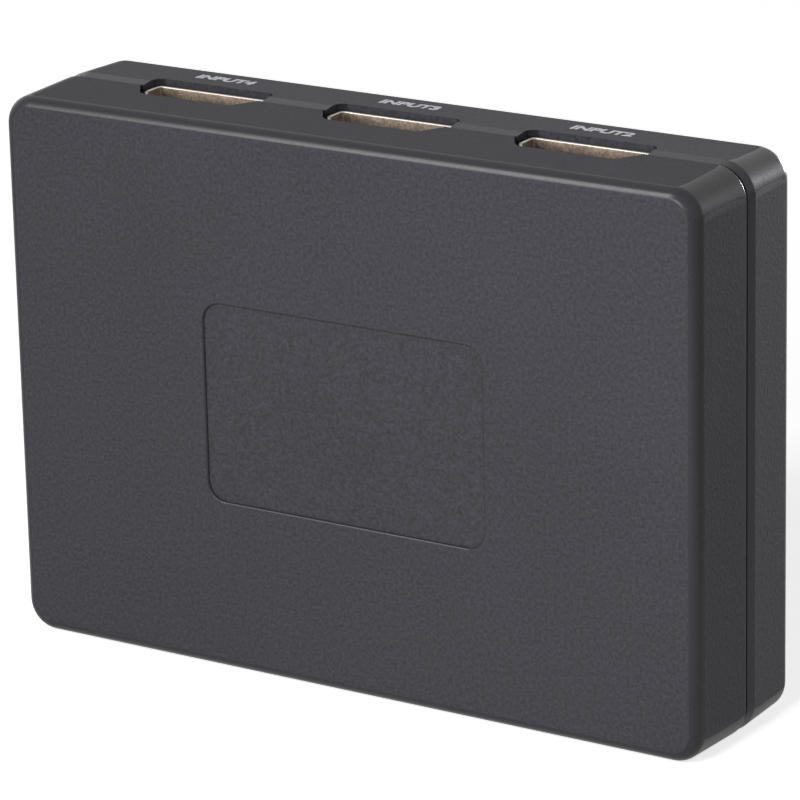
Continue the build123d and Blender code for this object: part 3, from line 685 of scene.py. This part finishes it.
class Form:
    """A mesh in the making, in its own frame, with sizes in millimetres."""

    def __init__(self) -> None:
        """Starts empty."""
        self.mesh = bmesh.new()

    def block(self, low: Point, high: Point, rounding: float = 0.0) -> None:
        """A box between two corners.

        Args:
            low: Its lowest corner.
            high: Its highest corner.
            rounding: The width of the bevel on all its edges.
        """
        made = bmesh.ops.create_cube(self.mesh, size=1.0)["verts"]
        size = Vector(high) - Vector(low)
        bmesh.ops.scale(self.mesh, vec=size, verts=made)
        bmesh.ops.translate(self.mesh, vec=(Vector(high) + Vector(low)) / 2, verts=made)
        if rounding:
            self.bevel({edge for vert in made for edge in vert.link_edges}, rounding)

    def bevel(self, edges: Edges, width: float, segments: int = 2) -> None:
        """Rounds some edges.

        Args:
            edges: The edges.
            width: How far from each edge its rounding starts.
            segments: How many flats the rounding has.
        """
        bmesh.ops.bevel(
            self.mesh, geom=list(edges), offset=width, offset_type="OFFSET", segments=segments,
            profile=0.5, affect="EDGES", clamp_overlap=True, material=-1,
        )

    def edges(self, test: Callable[[Vector], bool]) -> Edges:
        """The edges whose two ends both pass a test on their place."""
        return {edge for edge in self.mesh.edges if all(test(vert.co) for vert in edge.verts)}

    def outline(
        self, corners: Section, roundings: Sequence[float], segments: int = 5
    ) -> bmesh.types.BMFace:
        """A flat face at height 0 with rounded corners.

        Args:
            corners: Its corners, counter-clockwise.
            roundings: How far from each corner its rounding starts.
            segments: How many flats each rounding has.

        Returns:
            The face.
        """
        verts = [self.mesh.verts.new((x, y, 0.0)) for x, y in corners]
        self.mesh.faces.new(verts)
        for vert, rounding in zip(verts, roundings):
            if rounding:
                bmesh.ops.bevel(
                    self.mesh, geom=[vert], offset=rounding, offset_type="OFFSET", segments=segments,
                    profile=0.5, affect="VERTICES", clamp_overlap=True, material=-1,
                )
        return max(self.mesh.faces, key=lambda face: face.calc_area())

    def extrude(self, faces: Faces, move: Point) -> None:
        """Extrudes faces into a closed solid.

        Args:
            faces: The faces, all in one plane.
            move: How far and in which direction the new faces go.
        """
        made = bmesh.ops.extrude_face_region(self.mesh, geom=faces, use_keep_orig=True)["geom"]
        verts = [item for item in made if isinstance(item, bmesh.types.BMVert)]
        bmesh.ops.translate(self.mesh, vec=move, verts=verts)

    def turned(self, profile: Section, steps: int = 64) -> None:
        """A round form about Z.

        Args:
            profile: Its outline as pairs of radius and height.
            steps: How many flats go round it.
        """
        verts = [self.mesh.verts.new((radius, 0.0, height)) for radius, height in profile]
        edges = [self.mesh.edges.new(pair) for pair in zip(verts, verts[1:])]
        bmesh.ops.spin(
            self.mesh, geom=verts + edges, cent=(0, 0, 0), axis=(0, 0, 1), angle=2 * pi,
            steps=steps, use_merge=True, use_duplicate=False,
        )
        bmesh.ops.remove_doubles(self.mesh, verts=self.mesh.verts, dist=WELD)

    def ring(self, radius: float, height: float) -> Edges:
        """Finds one ring of a turned form.

        Args:
            radius: The ring's radius.
            height: The height that it lies at.

        Returns:
            Its edges.
        """
        def on_ring(at: Vector) -> bool:
            """Whether a point lies on the ring."""
            return abs(hypot(at.x, at.y) - radius) < LEVEL and abs(at.z - height) < LEVEL
        return self.edges(on_ring)

    def piece(
        self, name: str, place: Matrix, slot: str, nodes: Sequence[str] = (),
        body: Body = Body.BOX, finish: Finish | None = None,
    ) -> None:
        """Makes the form an object of the scene.

        Args:
            name: The object's name.
            place: Where the form's frame stands, in millimetres.
            slot: The record's material slot.
            nodes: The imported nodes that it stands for.
            body: The body that it rides on.
            finish: Its finish, if not the slot's own.
        """
        made = self.mesh.copy()
        bmesh.ops.remove_doubles(made, verts=made.verts, dist=FINE_WELD)
        bmesh.ops.recalc_face_normals(made, faces=made.faces)
        bmesh.ops.transform(made, matrix=Matrix.Scale(MM, 4) @ place, verts=made.verts)
        mesh = bpy.data.meshes.new(name)
        made.to_mesh(mesh)
        made.free()
        mesh.shade_smooth()
        mesh.set_sharp_from_angle(angle=radians(SHARP_ANGLE))
        mesh.materials.append((finish or SLOT_FINISHES[slot]).material())
        item = bpy.data.objects.new(name, mesh)
        bpy.context.scene.collection.objects.link(item)
        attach(item, body.value)
        if nodes:
            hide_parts(*nodes)
        log.info("%s: %d faces on %s", name, len(mesh.polygons), body.value)


def frame_at(origin: Point, across: Point, up: Point) -> Matrix:
    """A frame that stands at one point.

    Args:
        origin: The point.
        across: The direction of its X.
        up: The direction of its Y.

    Returns:
        The frame.
    """
    x_axis = Vector(across).normalized()
    y_axis = Vector(up).normalized()
    turn = Matrix((x_axis, y_axis, x_axis.cross(y_axis))).transposed().to_4x4()
    return Matrix.Translation(origin) @ turn


def node_box(node: str) -> tuple[Vector, Vector]:
    """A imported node's lowest and highest corners, in millimetres."""
    low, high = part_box(node)
    return low / MM, high / MM


def node_middle(node: str) -> tuple[float, float]:
    """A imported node's middle along the box and up it, in millimetres."""
    low, high = node_box(node)
    return (low.x + high.x) / 2, (low.z + high.z) / 2


def face_frame(x: float, level: float, z: float) -> Matrix:
    """A frame whose Z goes out through the button face and whose Y is up.

    Args:
        x: Its place along the box.
        level: Its place across the box.
        z: Its place up the box.

    Returns:
        The frame.
    """
    return frame_at((x, level, z), (-1, 0, 0), (0, 0, 1))


def through_face(node: str) -> tuple[Matrix, float, float]:
    """Reads where a piece stands in the button face.

    Args:
        node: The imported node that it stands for.

    Returns:
        A frame on its axis with Z outwards, and the levels of its back and its front.
    """
    low, high = node_box(node)
    x, z = node_middle(node)
    return face_frame(x, 0.0, z), low.y, high.y


@dataclass
class VideoSocket:
    """One socket: folded shell with spring tongues, insulator with its tongue, contacts."""

    name: str
    width: float = 15.0
    height: float = 5.55
    side: float = 2.9
    chamfer: float = 1.75
    corner: float = 0.7
    side_corner: float = 0.3
    foot_corner: float = 0.55
    sheet: float = 0.4
    lip_rounding: float = 0.13
    lip_turn: float = 0.5
    depth: float = 11.6
    spring_width: float = 1.9
    spring_length: float = 5.2
    spring_slot: float = 0.3
    spring_spacing: float = 6.4
    spring_setback: float = 2.6
    spring_bow: float = 0.42
    spring_shares: tuple[float, ...] = (0.0, 0.18, 0.45, 0.75, 0.97, 1.0, 0.72)
    insulator_depth: float = 3.6
    insulator_play: float = 0.04
    insulator_rounding: float = 0.12
    tongue_width: float = 11.2
    tongue_thickness: float = 1.3
    tongue_recess: float = 1.4
    tongue_tip_rounding: float = 0.24
    tongue_side_rounding: float = 0.06
    contact_counts: tuple[int, int] = (10, 9)
    contact_pitch: float = 1.0
    contact_width: float = 0.34
    contact_thickness: float = 0.14
    contact_rounding: float = 0.09
    contact_setback: float = 0.7
    contact_tail: float = 0.35
    contact_foot: float = 0.8
    leg_width: float = 1.8
    leg_reach: float = 2.3
    leg_rounding: float = 0.1
    leg_setbacks: tuple[float, float] = (3.6, 8.9)

    def place(self) -> Matrix:
        """Reads where the socket stands.

        Returns:
            A frame at the mouth: Y towards the button face, Z outwards.
        """
        low, high = node_box(f"{self.name}_shell")
        x, middle = node_middle(f"{self.name}_shell")
        y = high.y - self.height / 2
        if middle > HALF_HEIGHT:
            return frame_at((x, y, high.z), (1, 0, 0), (0, 1, 0))
        return frame_at((x, y, low.z), (-1, 0, 0), (0, 1, 0))

    def corners(self, inset: float) -> list[tuple[float, float]]:
        """The shell's section, wide side up.

        Args:
            inset: How far the section is shrunk all round.

        Returns:
            Its corners, counter-clockwise.
        """
        rise = self.height - self.side
        lean = hypot(rise, self.chamfer)
        half = self.width / 2 - inset
        top = self.height / 2 - inset
        side_end = self.height / 2 - self.side + inset * (lean - rise) / self.chamfer
        foot = self.width / 2 - self.chamfer - inset * (lean - self.chamfer) / rise
        return [
            (half, top), (-half, top), (-half, side_end), (-foot, -top), (foot, -top), (half, side_end),
        ]

    def roundings(self, inset: float) -> list[float]:
        """How far each corner's rounding starts from the corner.

        Args:
            inset: How far the section is shrunk all round.

        Returns:
            The lengths, in the order of the corners.
        """
        top = self.corner - inset
        side = top * self.side_corner
        foot = top * self.foot_corner
        return [top, top, side, foot, foot, side]

    def shell(self) -> Form:
        """Folds the shell: tube, slots, bowed tongues, sheet thickness and legs.

        Returns:
            The form, with its mouth at height 0.
        """
        form = Form()
        mesh = form.mesh
        section = form.outline(self.corners(0.0), self.roundings(0.0))
        made = bmesh.ops.extrude_edge_only(mesh, edges=section.edges[:])["geom"]
        verts = [item for item in made if isinstance(item, bmesh.types.BMVert)]
        bmesh.ops.translate(mesh, vec=(0, 0, -self.depth), verts=verts)
        bmesh.ops.delete(mesh, geom=[section], context="FACES_ONLY")
        self._cut_springs(form)
        bmesh.ops.recalc_face_normals(mesh, faces=mesh.faces)
        centre = Vector((0, 0, -self.depth / 2))
        outward = sum((face.calc_center_median() - centre).dot(face.normal) for face in mesh.faces)
        if outward < 0:
            bmesh.ops.reverse_faces(mesh, faces=mesh.faces)
        bmesh.ops.solidify(mesh, geom=mesh.faces[:], thickness=self.sheet)
        mouth = form.edges(lambda at: at.z > -LEVEL)
        lips = {edge for edge in mouth if edge.calc_face_angle(0.0) > self.lip_turn}
        form.bevel(lips, self.lip_rounding, segments=3)
        half = self.width / 2
        foot = -self.height / 2 - self.leg_reach
        root = self.height / 2 - self.side
        for setback in self.leg_setbacks:
            back = -setback - self.leg_width / 2
            front = -setback + self.leg_width / 2
            for inner, outer in ((half - self.sheet, half), (-half, self.sheet - half)):
                form.block((inner, foot, back), (outer, root, front), self.leg_rounding)
        return form

    def _cut_springs(self, form: Form) -> None:
        """Frees two tongues in the wide side and bows them inwards.

        Args:
            form: The tube, still without thickness.
        """
        mesh = form.mesh
        half_slot = self.spring_slot / 2
        half_width = self.spring_width / 2
        tip = -self.spring_setback
        root = tip - self.spring_length
        free = tip - self.spring_slot
        steps = len(self.spring_shares) - 1
        sides = [
            side * self.spring_spacing / 2 + edge * half_width + shift * half_slot
            for side in (-1, 1) for edge in (-1, 1) for shift in (-1, 1)
        ]
        for x in sides:
            self._slice(mesh, (x, 0, 0), (1, 0, 0))
        for z in [tip, *(root + (free - root) * step / steps for step in range(steps + 1))]:
            self._slice(mesh, (0, 0, z), (0, 0, 1))

        def beside(at: Vector) -> float:
            """How far a point lies from the middle line of the nearer tongue."""
            return min(abs(at.x - side * self.spring_spacing / 2) for side in (-1, 1))

        level = self.height / 2 - LEVEL
        slots = []
        for face in mesh.faces:
            middle = face.calc_center_median()
            along = middle.y > level and root < middle.z < tip
            if along and beside(middle) < half_width + half_slot:
                if beside(middle) > half_width - half_slot or middle.z > free:
                    slots.append(face)
        bmesh.ops.delete(mesh, geom=slots, context="FACES")
        for vert in mesh.verts:
            along = vert.co.y > level and root - LEVEL < vert.co.z < free + LEVEL
            if along and beside(vert.co) < half_width - half_slot + LEVEL:
                step = round((vert.co.z - root) / (free - root) * steps)
                vert.co.y -= self.spring_bow * self.spring_shares[step]

    @staticmethod
    def _slice(mesh: bmesh.types.BMesh, point: Point, normal: Point) -> None:
        """Cuts new edges where a plane crosses the mesh."""
        geometry = mesh.verts[:] + mesh.edges[:] + mesh.faces[:]
        bmesh.ops.bisect_plane(mesh, geom=geometry, dist=FINE_WELD, plane_co=point, plane_no=normal)

    def insulator(self) -> Form:
        """Makes the block that closes the shell's back and the tongue that carries the contacts.

        Returns:
            The form, with the socket's mouth at height 0.
        """
        form = Form()
        inset = self.sheet + self.insulator_play
        section = form.outline(self.corners(inset), self.roundings(inset))
        form.extrude([section], (0.0, 0.0, self.insulator_depth))
        front = form.edges(lambda at: at.z > self.insulator_depth - LEVEL)
        form.bevel(front, self.insulator_rounding)
        bmesh.ops.translate(form.mesh, vec=(0, 0, -self.depth), verts=form.mesh.verts)
        tongue = Form()
        half = self.tongue_width / 2
        thick = self.tongue_thickness / 2
        tongue.block((-half, -thick, -self.depth), (half, thick, -self.tongue_recess))
        tip = tongue.edges(lambda at: at.z > -self.tongue_recess - LEVEL)
        tongue.bevel(tip, self.tongue_tip_rounding)
        sides = tongue.edges(lambda at: abs(at.x) > half - LEVEL)
        tongue.bevel(sides, self.tongue_side_rounding, segments=1)
        spare = bpy.data.meshes.new("spare")
        tongue.mesh.to_mesh(spare)
        form.mesh.from_mesh(spare)
        bpy.data.meshes.remove(spare)
        return form

    def contacts(self) -> Form:
        """Makes two rows of contacts, each a blade on the tongue, a drop behind it and a foot.

        Returns:
            The form, with the socket's mouth at height 0.
        """
        form = Form()
        thickness = self.contact_thickness
        inner = self.tongue_thickness / 2
        foot = -self.height / 2
        front = -self.tongue_recess - self.contact_setback
        back = -self.depth - self.contact_tail
        toe = back - self.contact_foot
        for row, count in zip((1, -1), self.contact_counts):
            low, high = sorted((row * inner, row * (inner + thickness)))
            side = [
                (front, low), (front, high), (back - thickness, high),
                (back - thickness, foot + thickness), (toe, foot + thickness), (toe, foot),
                (back, foot), (back, low),
            ]
            for step in range(count):
                x = self.contact_pitch * (step - (count - 1) / 2) - self.contact_width / 2
                face = form.mesh.faces.new([form.mesh.verts.new((x, y, z)) for z, y in side])
                form.extrude([face], (self.contact_width, 0, 0))
        outer = inner + thickness - LEVEL
        tips = form.edges(lambda at: at.z > front - LEVEL and abs(at.y) > outer)
        form.bevel(tips, self.contact_rounding)
        return form


def build_sockets() -> None:
    """Builds the three parts of every socket from one set of forms."""
    sockets = [VideoSocket(name) for name in SOCKET_WORDS]
    parts = (
        ("shell", sockets[0].shell(), "socket_shell_metal"),
        ("insulator", sockets[0].insulator(), "socket_insulator_plastic"),
        ("contacts", sockets[0].contacts(), "contact_gold"),
    )
    for socket in sockets:
        place = socket.place()
        for part, form, slot in parts:
            node = f"{socket.name}_{part}"
            form.piece(f"{node}_dressed", place, slot, [node])


@dataclass
class PowerJack:
    """The round power jack in the short wall: block, lipped collar, bore and centre pin."""

    length: float = 9.0
    width: float = 5.4
    height: float = 5.2
    collar_radius: float = 2.4
    collar_reach: float = 1.6
    bore_radius: float = 1.8
    bore_depth: float = 8.0
    lip: float = 0.2
    pin_radius: float = 0.65
    pin_length: float = 7.0
    pin_rounding: float = 0.32
    pin_steps: int = 40

    def place(self) -> Matrix:
        """Reads where the jack stands.

        Returns:
            A frame at the collar's front with Z outwards through the short wall.
        """
        low, high = node_box("jack_housing")
        _, z = node_middle("jack_housing")
        return frame_at((low.x, high.y - self.height / 2, z), (0, 0, 1), (0, 1, 0))

    def housing(self) -> Form:
        """Makes the block with its collar and blind bore as one closed skin.

        Returns:
            The form, with the collar's front at height 0.
        """
        form = Form()
        front = -self.collar_reach
        form.turned([
            (self.collar_radius, front), (self.collar_radius, 0.0), (self.bore_radius, 0.0),
            (self.bore_radius, -self.bore_depth), (0.0, -self.bore_depth),
        ])
        form.bevel(form.ring(self.collar_radius, 0.0) | form.ring(self.bore_radius, 0.0), self.lip)
        half_width = self.width / 2
        half_height = self.height / 2
        form.block((-half_width, -half_height, front - self.length), (half_width, half_height, front))

        def at_corner(at: Vector) -> bool:
            """Whether a point is a corner of the block's front."""
            return abs(at.z - front) < WELD and abs(abs(at.x) - half_width) < WELD

        lids = [
            face for face in form.mesh.faces
            if len(face.verts) == 4 and all(at_corner(vert.co) for vert in face.verts)
        ]
        bmesh.ops.delete(form.mesh, geom=lids, context="FACES_ONLY")
        rims = [edge for edge in form.mesh.edges if edge.is_boundary]
        bmesh.ops.triangle_fill(form.mesh, use_beauty=True, edges=rims)
        return form

    def pin(self) -> Form:
        """Makes the centre pin with a rounded tip.

        Returns:
            The form, with the collar's front at height 0.
        """
        form = Form()
        tip = self.pin_length - self.bore_depth
        profile = [
            (0.0, tip), (self.pin_radius, tip), (self.pin_radius, -self.bore_depth),
            (0.0, -self.bore_depth),
        ]
        form.turned(profile, self.pin_steps)
        form.bevel(form.ring(self.pin_radius, tip), self.pin_rounding, segments=4)
        return form

    def build(self) -> None:
        """Makes the housing and the pin pieces."""
        place = self.place()
        self.housing().piece("jack_housing_dressed", place, "moulded_black_plastic", ["jack_housing"])
        self.pin().piece("jack_pin_dressed", place, "tinned_metal", ["jack_pin"])


@dataclass
class SelectButton:
    """The round button cap with a dished head, on the button body."""

    radius: float = 4.0
    rounding: float = 0.5
    land: float = 0.05
    dish: float = 0.25
    dish_shares: tuple[float, ...] = (0.0, 0.3, 0.55, 0.8, 1.0)
    flange_radius: float = 4.8
    flange: float = 0.8
    flange_top: float = 7.85
    flange_rounding: float = 0.12
    stem_radius: float = 1.9
    steps: int = 96

    def build(self) -> None:
        """Makes the cap from one turned outline."""
        place, back, top = through_face("select_button")
        crest = self.radius - self.rounding - self.land
        head = [(crest * share, top - self.dish * (1 - share * share)) for share in self.dish_shares]
        flange_back = self.flange_top - self.flange
        profile = [
            (0.0, back), (self.stem_radius, back), (self.stem_radius, flange_back),
            (self.flange_radius, flange_back), (self.flange_radius, self.flange_top),
            (self.radius, self.flange_top), (self.radius, top), *reversed(head),
        ]
        form = Form()
        form.turned(profile, self.steps)
        form.bevel(form.ring(self.radius, top), self.rounding, segments=5)
        form.bevel(form.ring(self.flange_radius, self.flange_top), self.flange_rounding)
        form.piece("select_button_dressed", place, "button_plastic", ["select_button"], Body.BUTTON)


@dataclass
class IndicatorLamp:
    """One flanged lamp with a domed top."""

    number: int
    radius: float = 1.5
    dome_steps: int = 6
    flange_radius: float = 1.9
    flange: float = 0.9
    flange_rounding: float = 0.1
    steps: int = 48

    def build(self) -> None:
        """Makes the lamp from one turned outline."""
        node = f"indicator_lamp_{self.number}"
        place, back, top = through_face(node)
        centre = top - self.radius
        turns = [radians(90 * step / self.dome_steps) for step in range(self.dome_steps)]
        dome = [(self.radius * cos(turn), centre + self.radius * sin(turn)) for turn in turns]
        shoulder = back + self.flange
        profile = [
            (0.0, back), (self.flange_radius, back), (self.flange_radius, shoulder),
            (self.radius, shoulder), *dome, (0.0, top),
        ]
        form = Form()
        form.turned(profile, self.steps)
        form.bevel(form.ring(self.flange_radius, shoulder), self.flange_rounding)
        form.piece(f"{node}_dressed", place, "lamp_resin", [node])


@dataclass
class InfraredWindow:
    """The slot-shaped window with a soft crown and a flange behind the face."""

    length: float = 8.4
    width: float = 4.6
    flange: float = 0.8
    flange_margin: float = 0.9
    flange_overlap: float = 0.2
    crown: float = 0.35
    steps: int = 64

    def plate(self, form: Form, grow: float, low: float, high: float) -> None:
        """Adds a slot-shaped plate.

        Args:
            form: The form that it is added to.
            grow: How far it stands out past the window's outline.
            low: The level of its back.
            high: The level of its front.
        """
        mesh = form.mesh
        radius = self.width / 2 + grow
        shift = (self.length - self.width) / 2
        made = bmesh.ops.create_circle(mesh, cap_ends=True, radius=radius, segments=self.steps)["verts"]
        for side in (-1, 1):
            half = [vert for vert in made if vert.co.x * side > WELD]
            bmesh.ops.translate(mesh, vec=(side * shift, 0, 0), verts=half)
        bmesh.ops.translate(mesh, vec=(0, 0, low), verts=made)
        faces = list({face for vert in made for face in vert.link_faces})
        form.extrude(faces, (0.0, 0.0, high - low))

    def build(self) -> None:
        """Makes the window and its flange."""
        place, back, top = through_face("infrared_window")
        form = Form()
        self.plate(form, 0.0, back + self.flange - self.flange_overlap, top)
        form.bevel(form.edges(lambda at: at.z > top - WELD), self.crown, segments=4)
        self.plate(form, self.flange_margin, back, back + self.flange)
        form.piece("infrared_window_dressed", place, "window_plastic", ["infrared_window"])


@dataclass
class Legend:
    """One printed word on a wall. Its boldness is in the font's own size."""

    name: str
    words: str
    place: Matrix
    cap_height: float = 1.65
    stretch: float = 1.08
    boldness: float = 0.045
    thickness: float = 0.02
    sunk: float = 0.008

    def letters(self) -> Form:
        """Sets the word flat.

        Returns:
            Its letters at height 0, in the font's own size.
        """
        curve = bpy.data.curves.new(self.name, "FONT")
        curve.body = self.words
        curve.align_x = "CENTER"
        curve.offset = self.boldness
        source = bpy.data.objects.new(self.name, curve)
        bpy.context.scene.collection.objects.link(source)
        ready = source.evaluated_get(bpy.context.evaluated_depsgraph_get())
        flat = bpy.data.meshes.new_from_object(ready)
        bpy.data.objects.remove(source)
        bpy.data.curves.remove(curve)
        form = Form()
        form.mesh.from_mesh(flat)
        bpy.data.meshes.remove(flat)
        bmesh.ops.remove_doubles(form.mesh, verts=form.mesh.verts, dist=WELD)
        return form

    def build(self) -> None:
        """Turns the word into a thin layer of ink that lies on its wall."""
        form = self.letters()
        mesh = form.mesh
        heights = [vert.co.y for vert in mesh.verts]
        widths = [vert.co.x for vert in mesh.verts]
        scale = self.cap_height / (max(heights) - min(heights))
        middle = Vector(((max(widths) + min(widths)) / 2, (max(heights) + min(heights)) / 2, 0))
        bmesh.ops.translate(mesh, vec=-middle, verts=mesh.verts)
        bmesh.ops.scale(mesh, vec=(scale * self.stretch, scale, 1), verts=mesh.verts)
        bmesh.ops.translate(mesh, vec=(0, 0, -self.sunk), verts=mesh.verts)
        form.extrude(mesh.faces[:], (0.0, 0.0, self.thickness))
        form.piece(f"legend_{self.name}", self.place, "casing_plastic", finish=INK)


@dataclass
class Legends:
    """All the words printed on the walls and on the button face."""

    cover_draft: float = 1.6
    row_drop: float = 3.7
    widest_drop: float = 8.425
    label_shift: float = -0.85
    number_drop: float = 3.6
    word_drop: float = 6.6

    def fall(self) -> float:
        """How far the leaning walls have come in at the row of words."""
        return (self.widest_drop - self.row_drop) * tan(radians(self.cover_draft))

    def by_socket(self, name: str) -> Matrix:
        """A frame on a socket's long wall, letters' tops towards the button face.

        Args:
            name: The socket.

        Returns:
            The frame.
        """
        low, high = node_box("upper_casing")
        draft = radians(self.cover_draft)
        x, middle = node_middle(f"{name}_shell")
        outwards = 1 if middle > HALF_HEIGHT else -1
        z = high.z - self.fall() if outwards > 0 else low.z + self.fall()
        origin = (x + outwards * self.label_shift, high.y - self.row_drop, z)
        return frame_at(origin, (outwards, 0, 0), (0, cos(draft), -outwards * sin(draft)))

    def by_jack(self) -> Matrix:
        """A frame on the short wall by the power jack, letters' tops towards the button face.

        Returns:
            The frame.
        """
        low, high = node_box("upper_casing")
        draft = radians(self.cover_draft)
        _, z = node_middle("jack_housing")
        origin = (low.x + self.fall(), high.y - self.row_drop, z)
        return frame_at(origin, (0, 0, 1), (sin(draft), cos(draft), 0))

    def under(self, node: str, drop: float) -> Matrix:
        """A frame on the button face, letters' tops upwards.

        Args:
            node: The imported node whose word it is.
            drop: How far the word's middle lies under the node's.

        Returns:
            The frame.
        """
        _, high = node_box("upper_casing")
        x, z = node_middle(node)
        return face_frame(x, high.y, z - drop)

    def build(self) -> None:
        """Prints every word."""
        words = [Legend(name, text, self.by_socket(name)) for name, text in SOCKET_WORDS.items()]
        words.append(Legend("power", "DC 5V", self.by_jack()))
        for number in LAMP_NUMBERS:
            place = self.under(f"indicator_lamp_{number}", self.number_drop)
            words.append(Legend(f"lamp_{number}", str(number), place))
        words.append(Legend("select", "SELECT", self.under("select_button", self.word_drop)))
        words.append(Legend("receiver", "IR", self.under("infrared_window", self.word_drop)))
        for word in words:
            word.build()


def dress_nodes() -> None:
    """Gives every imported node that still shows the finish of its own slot."""
    for name, node in sorted(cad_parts.items()):
        if node.hide_render:
            continue
        for slot in node.material_slots:
            slot.material = SLOT_FINISHES[slot.material.name].material()
            log.info("%s: %s", name, slot.material.name)


@dataclass
class Softbox:
    """One upright area lamp that stands around the box and faces it.

    Its bearing is in degrees from the label face's front, anticlockwise from above, its rise in
    degrees, and its sizes and distance in metres.
    """

    name: str
    bearing: float
    rise: float
    width: float
    height: float
    power: float
    distance: float = 2.1
    colour: Colour = WHITE
    mirrored: bool = True

    def build(self, target: Vector) -> None:
        """Hangs the lamp and turns it to the target.

        Args:
            target: The point that it faces.
        """
        lamp = bpy.data.lights.new(self.name, "AREA")
        lamp.shape = "RECTANGLE"
        lamp.size = self.width
        lamp.size_y = self.height
        lamp.energy = self.power
        lamp.color = self.colour
        bearing = radians(self.bearing)
        rise = radians(self.rise)
        away = Vector((sin(bearing) * cos(rise), -cos(bearing) * cos(rise), sin(rise)))
        item = bpy.data.objects.new(self.name, lamp)
        item.visible_camera = False
        item.visible_glossy = self.mirrored
        item.location = target + away * self.distance
        item.rotation_euler = (-away).to_track_quat("-Z", "Y").to_euler()
        bpy.context.scene.collection.objects.link(item)
        log.info("lamp %s", self.name)


SOFTBOXES = (
    Softbox("key_high", bearing=-32, rise=27, width=0.35, height=1.2, power=19.0),
    Softbox("key_low", bearing=-15, rise=7, width=0.35, height=0.5, power=9.0, colour=(0.96, 0.97, 1.0)),
    Softbox(
        "near_fill", bearing=16.4, rise=23.8, width=0.06, height=0.06, power=0.28, distance=0.194,
        mirrored=False,
    ),
    Softbox(
        "rear_right", bearing=176, rise=2, width=0.7, height=0.18, power=54.0, colour=(0.95, 0.96, 1.0)
    ),
    Softbox("rear_left", bearing=255, rise=14, width=0.9, height=0.9, power=1.0),
)


@dataclass
class Studio:
    """The floor, the light and the camera of the photograph.

    The floor is in metres, and the camera's place in millimetres and its turn in degrees.
    """

    paper: Colour = (0.75, 0.75, 0.75)
    floor_size: float = 6.0
    floor_glow: float = 0.75
    mirrored_glow: float = 0.33
    ambient: float = 0.05
    camera_place: Point = (267.6425, -413.4418, 189.5470)
    camera_turn: Point = (72.1918, 1.2071, 32.4445)
    lens: float = 212.234
    sensor_width: float = 36.0
    camera_reach: Span = (0.01, 50.0)

    def floor(self) -> None:
        """A pale floor that keeps the shadow and glows a little for the camera."""
        form = bmesh.new()
        bmesh.ops.create_grid(form, x_segments=1, y_segments=1, size=self.floor_size / 2)
        mesh = bpy.data.meshes.new("floor")
        form.to_mesh(mesh)
        form.free()
        item = bpy.data.objects.new("floor", mesh)
        bpy.context.scene.collection.objects.link(item)
        material = bpy.data.materials.new("floor_paper")
        material.use_nodes = True
        shader = Shader(material.node_tree)
        paper = shader.node("ShaderNodeBsdfDiffuse", inputs={"Color": rgba(self.paper)})
        camera = shader.node("ShaderNodeLightPath", output="Is Camera Ray")
        strength = shader.seen() * self.mirrored_glow + camera * (self.floor_glow - self.mirrored_glow)
        glow = shader.node("ShaderNodeEmission", inputs={"Strength": strength})
        both = shader.node("ShaderNodeAddShader", inputs={0: paper, 1: glow})
        shader.node("ShaderNodeOutputMaterial", inputs={"Surface": both})
        mesh.materials.append(material)

    def world(self) -> None:
        """A white surround for the camera and for mirrors, and a softer one as light."""
        world = bpy.data.worlds.new("surround")
        world.use_nodes = True
        shader = Shader(world.node_tree)
        seen = shader.seen()
        strength = seen + (1.0 - seen) * self.ambient
        inputs = {"Color": rgba(WHITE), "Strength": strength}
        surround = shader.node("ShaderNodeBackground", inputs=inputs)
        shader.node("ShaderNodeOutputWorld", inputs={"Surface": surround})
        bpy.context.scene.world = world

    def camera(self) -> None:
        """The camera, at the photograph's place and length."""
        data = bpy.data.cameras.new("camera")
        data.lens = self.lens
        data.sensor_width = self.sensor_width
        data.clip_start, data.clip_end = self.camera_reach
        item = bpy.data.objects.new("camera", data)
        item.location = Vector(self.camera_place) * MM
        item.rotation_euler = Euler([radians(turn) for turn in self.camera_turn], "XYZ")
        bpy.context.scene.collection.objects.link(item)
        bpy.context.scene.camera = item

    def build(self) -> None:
        """Sets up everything around the box."""
        target = Vector((0, 0, (cad_box[0].z + cad_box[1].z) / 2))
        self.floor()
        self.world()
        for softbox in SOFTBOXES:
            softbox.build(target)
        self.camera()
        bpy.context.scene.view_settings.view_transform = "Standard"


def main() -> None:
    """Builds the sub-assemblies in order and sets up the studio."""
    logging.basicConfig(level=logging.INFO, format="%(name)s %(message)s")
    build_sockets()
    PowerJack().build()
    SelectButton().build()
    for number in LAMP_NUMBERS:
        IndicatorLamp(number).build()
    InfraredWindow().build()
    Legends().build()
    dress_nodes()
    Studio().build()


if __name__ == "__main__":
    main()
